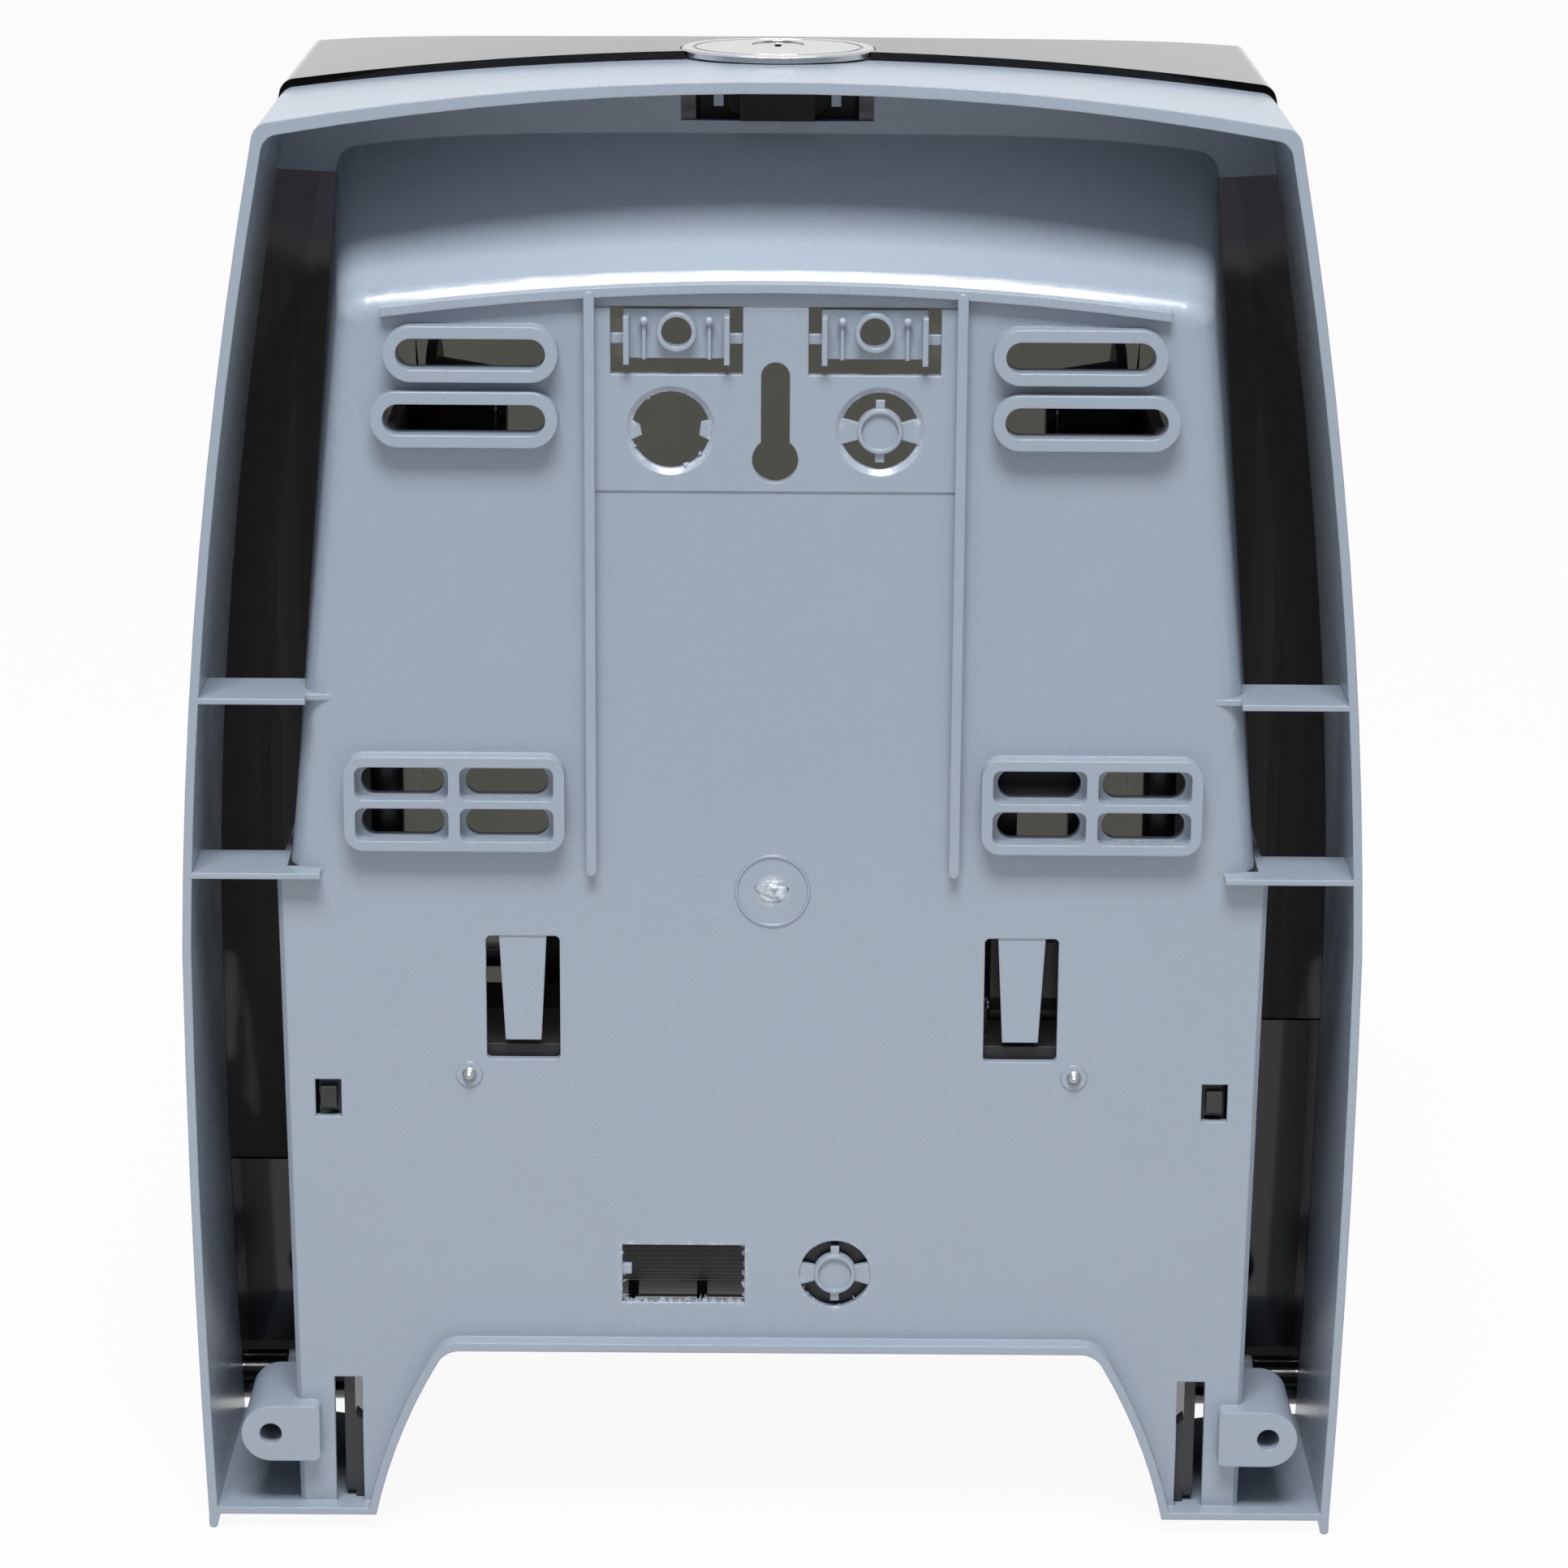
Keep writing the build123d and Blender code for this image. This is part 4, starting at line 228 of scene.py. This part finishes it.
# %% Housing finish
def housing_finish():
    material, shader, start = new_finish("housing grey", colour(*GREY), 0.42,
                                         Specular_IOR_Level=0.75)
    where, (x, y, z) = place(start)
    speckle = noise(start, where, 2600.0, 2.0)
    cloud = noise(start, where, 22.0, 3.0)
    patches = noise(start, where, 420.0, 4.0, 0.7)
    level = 0.965 + 0.05 * cloud + 0.05 * (speckle - 0.5)
    plain = start.node("ShaderNodeVectorMath", {"operation": "SCALE"}, {0: GREY, "Scale": level})
    torn = None
    for spot in TORN_EDGES:
        ring = beside(x, z, *spot, TORN_REACH)
        torn = ring if torn is None else torn.maths("MAXIMUM", torn, ring)
    near_gate = ((x - GATE_AT[0]) ** 2.0 + (z - GATE_AT[1]) ** 2.0) ** 0.5
    blush = near_gate.ramp(0.0052, 0.0024) * patches.ramp(0.36, 0.56)
    near_the_wall = y.ramp(-0.009, -0.0065)
    torn_part = 0.55 * torn * patches.ramp(0.48, 0.72)
    whitened = torn.maths("MAXIMUM", torn_part, 0.75 * blush) * near_the_wall
    scratched = start.node("ShaderNodeMapping", None, {"Vector": where, "Rotation": (0.0, 0.6, 0.0),
                                                       "Scale": (1.0, 1.0, 0.03)})
    fine_lines = noise(start, scratched, 1500.0, 1.0).ramp(0.77, 0.80)
    scratch = fine_lines * noise(start, where, 16.0).ramp(0.55, 0.7)
    feed(shader, "Base Color", (whitened + 0.16 * scratch).mix(plain, colour(0.66, 0.70, 0.74)))
    feed(shader, "Roughness", 0.22 + 0.07 * cloud + 0.05 * speckle + 0.25 * whitened)
    grain = noise(start, where, 1400.0, 3.0)
    height = grain + 1.5 * noise(start, where, 60.0, 2.0)
    feed(shader, "Normal", relief(start, height, 0.00001, 0.6, rounding=0.0006))
    return material


housing_grey = housing_finish()
print("housing grey made, with", len(TORN_EDGES), "whitened places")

# %% [markdown]
# ## The plastics inside
#
# The arms, hubs, frames and the drum are satin mouldings in black and dark grey, the bearings
# are natural acetal and the hand knob is green so that it is found at once. One recipe serves
# them all: a grain, a slight cloudiness, and a little dust grey on what faces up.

# %% Moulded plastics
def moulded(name, base, roughness, grain_scale=900.0, grain=0.00002, rounding=0.0004,
            spread=0.06, dust=0.0):
    """Moulded plastic with a fine grain and a little variation in colour and gloss."""
    material, shader, start = new_finish(name, colour(*base), roughness)
    where, _ = place(start)
    cloud = noise(start, where, 30.0, 3.0)
    level = 1 - spread / 2 + spread * cloud
    plain = start.node("ShaderNodeVectorMath", {"operation": "SCALE"}, {0: base, "Scale": level})
    facing = start.node("ShaderNodeNewGeometry", out=1)
    split = start.tree.nodes.new("ShaderNodeSeparateXYZ")
    start.tree.links.new(facing.socket, split.inputs[0])
    dusty = Wire(start.tree, split.outputs[2]).ramp(0.5, 1.0) * noise(start, where, 140.0, 4.0) * dust
    feed(shader, "Base Color", dusty.mix(plain, colour(0.42, 0.41, 0.39)))
    feed(shader, "Roughness", roughness - 0.04 + 0.08 * cloud + 0.2 * dusty)
    feed(shader, "Normal", relief(start, noise(start, where, grain_scale, 3.0), grain, 0.6, rounding))
    return material


black_plastic = moulded("black plastic", (0.012, 0.012, 0.013), 0.38, dust=0.04)
dark_plastic = moulded("dark grey plastic", (0.024, 0.026, 0.029), 0.42, dust=0.04)
acetal = moulded("natural acetal", (0.70, 0.69, 0.64), 0.30, spread=0.03)
knob_green = moulded("knob green", (0.02, 0.16, 0.09), 0.30)
print("moulded plastics made")

# %% [markdown]
# ## Grip rubber
#
# The four bands on the drum grip the towel with fine ribs along the drum. The angle of a
# point around the drum's axle, times the number of ribs, gives a wave, and the wave is a
# bump. The rollers and pads share the finish; there the same wave reads as a fine tooth.

# %% Grip rubber with ribs
DRUM_AXLE = (-0.100, -0.255)
RIBS = 150


def rubber_finish():
    material, shader, start = new_finish("grip rubber", colour(0.045, 0.045, 0.046), 0.75)
    where, (x, y, z) = place(start)
    around = start.maths("ARCTAN2", z - DRUM_AXLE[1], y - DRUM_AXLE[0])
    wave = start.maths("SINE", around * float(RIBS))
    bloom = noise(start, where, 45.0, 3.0)
    worn = 0.5 * bloom + 0.25 * wave.ramp(0.2, 1.0)
    feed(shader, "Base Color", worn.mix(colour(0.030, 0.030, 0.031), colour(0.085, 0.083, 0.080)))
    feed(shader, "Roughness", 0.66 + 0.16 * bloom)
    height = wave + 0.3 * noise(start, where, 900.0, 3.0)
    feed(shader, "Normal", relief(start, height, 0.00015, 0.7, rounding=0.0003))
    return material


rubber = rubber_finish()
print("grip rubber made with", RIBS, "ribs round the drum")

# %% [markdown]
# ## Smoke plastic
#
# The cover is polished smoke plastic. Through the slots of the housing the white room shows
# as an olive grey through its front. Its sides are tinted near black, which is painted shade
# that makes the channels look black, and its top corners get a darker tint that is painted
# shade as well. So the front and the top corners let light through and the sides don't: the
# colour behind the clear part is mixed by how far out and how high a point is.

# %% Smoke finish
def smoke_finish():
    material, shader, start = new_finish("smoke plastic", colour(0.066, 0.068, 0.056), 0.06,
                                         Transmission_Weight=1.0, IOR=1.49)
    where, (x, y, z) = place(start)
    # Away from the front and below the top corners the cover is tinted near black: painted shade, so that
    # the channels look black. The top corners get a darker tint, which is painted shade too.
    front = abs(x).ramp(0.128, 0.118)
    corner = z.ramp(-0.020, -0.006)
    clear_else_painted_shade = front.maths("MAXIMUM", front, corner)
    streaks = noise(start, where, 24.0, 4.0)
    tint = streaks.mix(colour(0.034, 0.035, 0.029), colour(0.046, 0.047, 0.040))
    tint_and_painted_corner_shade = corner.mix(tint, colour(0.016, 0.015, 0.018))
    feed(shader, "Base Color", clear_else_painted_shade.mix(colour(0.006, 0.006, 0.006), tint_and_painted_corner_shade))
    scuffs = noise(start, where, 60.0, 4.0)
    hairline = start.node("ShaderNodeMapping", None, {"Vector": where, "Scale": (1.0, 1.0, 0.04)})
    rub = noise(start, hairline, 900.0, 2.0).ramp(0.68, 0.8)
    feed(shader, "Roughness", 0.03 + 0.07 * scuffs + 0.12 * rub)
    return material


smoke = smoke_finish()
print("smoke plastic made")

# %% [markdown]
# ## Metals
#
# Screws, pins and the tie rod are zinc plated, the shafts are ground bright, the springs are
# dark oil-tempered wire and the lock is plated. Streaks in the gloss, drawn out along the
# direction of the work, are what makes metal read as metal.

# %% Metals
def metal(name, base, roughness, brush=0.12, stretch=(1.0, 1.0, 1.0)):
    """Metal with fine streaks in its gloss."""
    material, shader, start = new_finish(name, colour(*base), roughness, 1.0)
    where, _ = place(start)
    streaked = start.node("ShaderNodeMapping", None, {"Vector": where, "Scale": stretch})
    streak = noise(start, streaked, 900.0, 3.0)
    feed(shader, "Roughness", roughness - brush / 2 + brush * streak)
    feed(shader, "Base Color", streak.mix(colour(*[0.86 * part for part in base]), colour(*base)))
    feed(shader, "Normal", relief(start, streak, 0.00001, 0.5, rounding=0.0003))
    return material


zinc = metal("zinc-plated steel", (0.58, 0.58, 0.60), 0.32)
bright_steel = metal("bright steel", (0.66, 0.67, 0.69), 0.20, stretch=(0.05, 1.0, 1.0))
spring_steel = metal("spring steel", (0.30, 0.30, 0.31), 0.34)
plated = metal("plated lock metal", (0.55, 0.56, 0.57), 0.16)
print("metals made")

# %% Give every piece its finish
finishes = {"grey_plastic": housing_grey, "smoke_plastic": smoke, "black_plastic": black_plastic,
            "dark_plastic": dark_plastic, "acetal": acetal, "green_plastic": knob_green,
            "zinc_steel": zinc, "bright_steel": bright_steel, "spring_steel": spring_steel,
            "grip_rubber": rubber, "plated_metal": plated}
for row in frame["record"]["subparts"]:
    piece = nodes[row["node"]]
    for place_for_it in piece.material_slots:
        place_for_it.material = finishes[row["material_slot"]]

# %% [markdown]
# ## Fine pieces that repeat
#
# Coils and burrs repeat along a line, so they are grown with Geometry Nodes. The thread turns of the screw
# tips are built point by point.
# The tree is built here by a few lines of Python and has named inputs for its sizes. The
# result is turned into a plain mesh, which then rides on its body like any other piece.

# %% Growing a plain mesh with a node tree
class Grower:
    """A Geometry Nodes tree under construction, with named inputs."""

    def __init__(self, name):
        self.tree = bpy.data.node_groups.new(name, "GeometryNodeTree")
        self.tree.interface.new_socket("Geometry", in_out="INPUT", socket_type="NodeSocketGeometry")
        self.tree.interface.new_socket("Geometry", in_out="OUTPUT", socket_type="NodeSocketGeometry")
        self.entry = self.tree.nodes.new("NodeGroupInput")
        self.exit = self.tree.nodes.new("NodeGroupOutput")
        self.names = {}

    def size(self, name, value, whole=False):
        kind = "NodeSocketInt" if whole else "NodeSocketFloat"
        made = self.tree.interface.new_socket(name, in_out="INPUT", socket_type=kind)
        made.default_value = value
        self.names[name] = made.identifier
        return self.entry.outputs[name]

    def node(self, kind, settings=None, sockets=None, out=0):
        made = self.tree.nodes.new(kind)
        for name, value in (settings or {}).items():
            setattr(made, name, value)
        for key, value in (sockets or {}).items():
            if isinstance(value, bpy.types.NodeSocket):
                self.tree.links.new(value, made.inputs[key])
            else:
                made.inputs[key].default_value = value
        return made.outputs[out]

    def end(self, shape, material):
        real = self.node("GeometryNodeRealizeInstances", None, {0: shape})
        done = self.node("GeometryNodeSetMaterial", None, {"Geometry": real, "Material": material})
        self.tree.links.new(done, self.exit.inputs[0])


def grown(name, grower, seedling, sizes, body, slot_name, after=None):
    """Run the tree on a seedling mesh, keep the plain result and let it ride on its body."""
    carrier = bpy.data.objects.new(name + "_carrier", seedling)
    bpy.context.scene.collection.objects.link(carrier)
    modifier = carrier.modifiers.new("grow", "NODES")
    modifier.node_group = grower.tree
    for key, value in sizes.items():
        modifier[grower.names[key]] = value
    settled = carrier.evaluated_get(bpy.context.evaluated_depsgraph_get())
    mesh = bpy.data.meshes.new_from_object(settled)
    mesh.name = name
    carrier.modifiers.remove(modifier)
    bpy.data.objects.remove(carrier)
    if after:
        after(mesh)
    return ridden(name, mesh, body, slot_name)


def ridden(name, mesh, body, slot_name):
    """Turn faces outward, shade smooth by angle, and hang the piece on its body."""
    shape = bmesh.new()
    shape.from_mesh(mesh)
    bmesh.ops.remove_doubles(shape, verts=shape.verts, dist=1e-6)
    bmesh.ops.recalc_face_normals(shape, faces=shape.faces)
    for face in shape.faces:
        face.smooth = True
    for edge in shape.edges:
        edge.smooth = edge.calc_face_angle(0.0) < math.radians(40)
    shape.to_mesh(mesh)
    shape.free()
    piece = bpy.data.objects.new(name, mesh)
    bpy.context.scene.collection.objects.link(piece)
    if not mesh.materials:
        mesh.materials.append(finishes[slot_name])
    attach(piece, body)
    print(name, "has", len(mesh.polygons), "faces and rides on", body)
    return piece


# %% [markdown]
# ## Pinch roller springs
#
# Two small compression springs press the pinch roller on the drum. A coil is a spiral with
# a round wire drawn along it. Its ends are ground flat on the real spring; here they end
# level inside the height that the frame gives the spring.

# %% The coil tree
coil = Grower("coil")
coil_turns = coil.size("Turns", 5.0)
coil_high = coil.size("Height", 0.01)
coil_radius = coil.size("Radius", 0.0025)
coil_wire = coil.size("Wire", 0.0004)
spiral = coil.node("GeometryNodeCurveSpiral", None,
                   {"Resolution": 28, "Rotations": coil_turns, "Start Radius": coil_radius,
                    "End Radius": coil_radius, "Height": coil_high})
wire_round = coil.node("GeometryNodeCurvePrimitiveCircle", None, {"Resolution": 10, "Radius": coil_wire})
drawn = coil.node("GeometryNodeCurveToMesh", None,
                  {"Curve": spiral, "Profile Curve": wire_round, "Fill Caps": True})
coil.end(drawn, spring_steel)
print("coil tree has", len(coil.tree.nodes), "nodes")

# %% Two springs for one node of the frame
low, high = (Vector(corner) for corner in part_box("pinch_springs"))
spring_x = high.x - 0.00295
spring_y = (low.y + high.y) / 2


def pair_of_coils(mesh):
    """Move the coil on to its seat and copy it to the other side."""
    shape = bmesh.new()
    shape.from_mesh(mesh)
    bmesh.ops.translate(shape, verts=shape.verts, vec=(spring_x, spring_y, low.z + 0.0004))
    twin = bmesh.ops.duplicate(shape, geom=shape.verts[:] + shape.edges[:] + shape.faces[:])["geom"]
    bmesh.ops.translate(shape, verts=[part for part in twin if isinstance(part, bmesh.types.BMVert)],
                        vec=(-2 * spring_x, 0, 0))
    shape.to_mesh(mesh)
    shape.free()


pinch_coils = grown("pinch_coils", coil, bpy.data.meshes.new("seedling"),
                    {"Turns": 4.5, "Height": high.z - low.z - 0.0008, "Radius": 0.0025, "Wire": 0.0004},
                    "housing", "spring_steel", pair_of_coils)
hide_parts("pinch_springs")

# %% [markdown]
# ## Screw tips in the two bosses
#
# The chassis screws come through the plate's bosses and show a bright pointed tip with a few
# turns of thread. The tip is turned from a profile, and the thread is a ridge that winds
# round it with its radius shrinking towards the point.

# %% Turned tips with thread
BOSS_AT = (0.0831, -0.2016)
TIP_PROFILE = ((0.00172, -0.0049), (0.00172, -0.0044), (0.00125, -0.0036), (0.0006, -0.0027),
               (0.0, -0.0023))
TIP_SIDES = 20
THREAD_STEPS = 48
THREAD_TURNS = 3


def thread_section(part):
    """How far out and along the three corners of the ridge lie, part of the way to the point."""
    return ((-0.0003, -0.00018), (0.00028 * (1 - 0.6 * part), 0.0), (-0.0003, 0.00018))


def screw_tips():
    shape = bmesh.new()
    for middle in (-BOSS_AT[0], BOSS_AT[0]):
        rings = []
        for radius, y in TIP_PROFILE[:-1]:
            rings.append([shape.verts.new((middle + radius * math.cos(k * math.tau / TIP_SIDES), y,
                                           BOSS_AT[1] + radius * math.sin(k * math.tau / TIP_SIDES)))
                          for k in range(TIP_SIDES)])
        point = shape.verts.new((middle, TIP_PROFILE[-1][1], BOSS_AT[1]))
        for near_ring, far_ring in zip(rings, rings[1:]):
            for k in range(TIP_SIDES):
                shape.faces.new((near_ring[k], near_ring[k - 1], far_ring[k - 1], far_ring[k]))
        for k in range(TIP_SIDES):
            shape.faces.new((rings[-1][k], rings[-1][k - 1], point))
        shape.faces.new(rings[0])
        # One ridge of thread winds round the tip
        ridge = []
        for step in range(THREAD_STEPS + 1):
            part = step / THREAD_STEPS
            turn = part * THREAD_TURNS * math.tau
            radius = 0.00172 * (1 - part) ** 0.6 + 0.0002
            y = -0.0049 + 0.0022 * part
            ridge.append([shape.verts.new((middle + (radius + lift) * math.cos(turn), y + along,
                                           BOSS_AT[1] + (radius + lift) * math.sin(turn)))
                          for lift, along in thread_section(part)])
        for first, second in zip(ridge, ridge[1:]):
            for k in range(3):
                shape.faces.new((first[k], first[k - 1], second[k - 1], second[k]))
        shape.faces.new(ridge[0])
        shape.faces.new(reversed(ridge[-1]))
    mesh = bpy.data.meshes.new("chassis_screw_tips")
    shape.to_mesh(mesh)
    shape.free()
    return ridden("chassis_screw_tips", mesh, "housing", "zinc_steel")


screw_tips()

# %% [markdown]
# ## Burrs and torn edges
#
# Two knock-outs at the foot and one at the top have been broken out or bent. What is left on
# their edges is a row of small splinters of plastic on a line. One tree walks a line, sets a
# splinter every so often, and gives each its own size and lean from a fixed seed.

# %% The splinter tree
splinters = Grower("splinters along a line")
spread = splinters.size("Spacing", 0.002)
long = splinters.size("Length", 0.0012)
thick = splinters.size("Thickness", 0.0004)
lean = splinters.size("Lean", 0.5)
seed = splinters.size("Seed", 1, whole=True)
keep = splinters.size("Share", 0.7)
line = splinters.node("GeometryNodeMeshToCurve", None, {"Mesh": splinters.entry.outputs[0]})
points = splinters.node("GeometryNodeCurveToPoints", {"mode": "LENGTH"}, {"Curve": line, "Length": spread})
chance = splinters.node("FunctionNodeRandomValue", {"data_type": "FLOAT"},
                        {2: 0.0, 3: 1.0, "Seed": seed}, out=1)
few = splinters.node("FunctionNodeCompare", {"data_type": "FLOAT", "operation": "LESS_THAN"},
                     {0: chance, 1: keep})
cone = splinters.node("GeometryNodeMeshCone", None,
                      {"Vertices": 5, "Radius Top": 0.0, "Radius Bottom": thick, "Depth": long})
sizes_of_each = splinters.node("FunctionNodeRandomValue", {"data_type": "FLOAT_VECTOR"},
                               {0: (0.6, 0.6, 0.35), 1: (1.6, 1.0, 1.3), "Seed": seed})
tilt_low = splinters.node("ShaderNodeMath", {"operation": "MULTIPLY"}, {0: lean, 1: -1.0})
lowest = splinters.node("ShaderNodeCombineXYZ", None, {0: tilt_low, 1: tilt_low, 2: -3.1})
highest = splinters.node("ShaderNodeCombineXYZ", None, {0: lean, 1: lean, 2: 3.1})
turn_each = splinters.node("FunctionNodeRandomValue", {"data_type": "FLOAT_VECTOR"},
                           {0: lowest, 1: highest, "Seed": seed})
set_down = splinters.node("GeometryNodeInstanceOnPoints", None,
                          {"Points": points, "Selection": few, "Instance": cone, "Rotation": turn_each,
                           "Scale": sizes_of_each})
splinters.end(set_down, housing_grey)
print("splinter tree has", len(splinters.tree.nodes), "nodes")


def line_of(points_on_it, closed=False):
    mesh = bpy.data.meshes.new("line")
    ends = [(k, k + 1) for k in range(len(points_on_it) - 1)]
    if closed:
        ends.append((len(points_on_it) - 1, 0))
    mesh.from_pydata([tuple(point) for point in points_on_it], ends, [])
    return mesh


# %% Torn edges of the three opened knock-outs
def rectangle_line(middle_x, middle_z, half_x, half_z, y):
    corners = ((-1, -1), (1, -1), (1, 1), (-1, 1))
    return line_of([(middle_x + across * half_x, y, middle_z + up * half_z) for across, up in corners],
                   closed=True)


def circle_line(middle_x, middle_z, radius, y, count=36):
    return line_of([(middle_x + radius * math.cos(k * math.tau / count), y,
                     middle_z + radius * math.sin(k * math.tau / count)) for k in range(count)],
                   closed=True)


grown("cable_hole_burrs", splinters, rectangle_line(*TORN_EDGES[0], -0.0063),
      {"Spacing": 0.0021, "Length": 0.0022, "Thickness": 0.0007, "Lean": 1.2, "Seed": 4, "Share": 0.6},
      "housing", "grey_plastic")
grown("low_knockout_burrs", splinters, circle_line(*TORN_EDGES[1][:3], -0.0063),
      {"Spacing": 0.0024, "Length": 0.0016, "Thickness": 0.0006, "Lean": 1.2, "Seed": 9, "Share": 0.5},
      "housing", "grey_plastic")
grown("round_knockout_stubs", splinters, circle_line(*TORN_EDGES[2][:3], -0.0060),
      {"Spacing": 0.0051, "Length": 0.0022, "Thickness": 0.0008, "Lean": 0.9, "Seed": 21, "Share": 0.34},
      "housing", "grey_plastic")

# %% Gate scar inside the ring
SCAR_PROFILE = ((0.0040, -0.00505), (0.0032, -0.0046), (0.0019, -0.0042), (0.0009, -0.0045))
SCAR_SIDES = 18


def gate_scar():
    """A low broken mound of plastic where the melt came in, in the middle of the ring."""
    shape = bmesh.new()
    rings = []
    for step, (radius, y) in enumerate(SCAR_PROFILE):
        ring = []
        for k in range(SCAR_SIDES):
            turn = k * math.tau / SCAR_SIDES
            wobble = 1 + 0.22 * math.sin(2 * turn + 0.7) + 0.12 * math.sin(5 * turn + step)
            ring.append(shape.verts.new((radius * wobble * math.cos(turn),
                                         y + 0.00018 * math.sin(3 * turn + step),
                                         GATE_AT[1] + 0.75 * radius * wobble * math.sin(turn))))
        rings.append(ring)
    for near_ring, far_ring in zip(rings, rings[1:]):
        for k in range(SCAR_SIDES):
            shape.faces.new((near_ring[k], near_ring[k - 1], far_ring[k - 1], far_ring[k]))
    shape.faces.new(rings[-1])
    shape.faces.new(rings[0])
    mesh = bpy.data.meshes.new("gate_scar")
    shape.to_mesh(mesh)
    shape.free()
    return ridden("gate_scar", mesh, "housing", "grey_plastic")


gate_scar()

# %% [markdown]
# ## Studio
#
# The real studio is a white table and white surroundings. The floor and the world show
# white to the camera, to reflections and through the smoke cover. About half of the light
# comes evenly from all around, which makes the channels darker the deeper they are. A large
# soft box stands high behind the dispenser, so that the top wall shades the sloping bowl
# below it, and a weak one lights the top. The room behind the camera is dark, so the upper
# part of the plate mirrors the dark and its lower part mirrors the table, as the faint step
# on it shows.

# %% Floor
def floor_finish():
    material = bpy.data.materials.new("table white")
    material.use_nodes = True
    tree = material.node_tree
    start = Wire(tree)
    shader = tree.nodes["Principled BSDF"]
    shader.inputs["Base Color"].default_value = colour(0.62, 0.62, 0.62)
    shader.inputs["Roughness"].default_value = 0.8
    path = tree.nodes.new("ShaderNodeLightPath")
    seen = Wire(tree, path.outputs["Is Camera Ray"]) + Wire(tree, path.outputs["Is Transmission Ray"])
    mirrored = Wire(tree, path.outputs["Is Glossy Ray"])
    _, (x, y, z) = place(start)
    on_table = y.ramp(0.80, 0.60)
    white = start.node("ShaderNodeEmission", None,
                       {"Color": colour(1, 1, 1), "Strength": seen + mirrored * (0.1 + 0.9 * on_table)})
    share = 0.94 * seen + mirrored
    both = start.node("ShaderNodeMixShader", None, {0: share, 1: Wire(tree, shader.outputs[0]), 2: white})
    tree.links.new(both.socket, tree.nodes["Material Output"].inputs["Surface"])
    return material


TABLE_HALF = 12
TABLE_GAP = 0.0005


def table_top():
    mesh = bpy.data.meshes.new("table_top")
    edge = bmesh.new()
    corners = [edge.verts.new((TABLE_HALF * across, TABLE_HALF * along, 0))
               for across, along in ((-1, -1), (1, -1), (1, 1), (-1, 1))]
    edge.faces.new(corners)
    bmesh.ops.translate(edge, verts=edge.verts, vec=(0, 0, cad_box[0][2] - TABLE_GAP))
    edge.to_mesh(mesh)
    edge.free()
    table = bpy.data.objects.new("table_top", mesh)
    bpy.context.scene.collection.objects.link(table)
    mesh.materials.append(floor_finish())


table_top()

# %% World
world = bpy.data.worlds.new("studio")
bpy.context.scene.world = world
world.use_nodes = True
sky = Wire(world.node_tree)
path = world.node_tree.nodes.new("ShaderNodeLightPath")
shown = (Wire(world.node_tree, path.outputs["Is Camera Ray"])
         + Wire(world.node_tree, path.outputs["Is Transmission Ray"]))
mirrored = Wire(world.node_tree, path.outputs["Is Glossy Ray"])
background = world.node_tree.nodes["Background"]
background.inputs["Color"].default_value = colour(1, 1, 1)
bearing = world.node_tree.nodes.new("ShaderNodeSeparateXYZ")
world.node_tree.links.new(sky.node("ShaderNodeTexCoord", out=0).socket, bearing.inputs[0])
behind_camera = Wire(world.node_tree, bearing.outputs[1]).ramp(0.25, 0.65)
above_horizon = Wire(world.node_tree, bearing.outputs[2])
dark_room = mirrored * behind_camera * above_horizon.ramp(0.75, 0.45)
strength = 0.47 + 0.53 * (shown + mirrored) - 0.9 * dark_room
world.node_tree.links.new(strength.socket, background.inputs["Strength"])

# %% Soft boxes
def soft_box(name, position, target, size, power):
    lamp = bpy.data.lights.new(name, "AREA")
    lamp.shape = "RECTANGLE"
    lamp.size, lamp.size_y = size
    lamp.energy = power
    holder = bpy.data.objects.new(name, lamp)
    bpy.context.scene.collection.objects.link(holder)
    holder.location = position
    aim = Vector(target) - Vector(position)
    holder.rotation_euler = aim.to_track_quat("-Z", "Y").to_euler()
    return holder


soft_box("key soft box", (0.05, 1.05, 1.95), (0, 0, -0.16), (1.2, 0.7), 66)
soft_box("top soft box", (0.0, -0.2, 1.6), (0, -0.03, 0), (1.2, 0.8), 2)
print("studio ready")
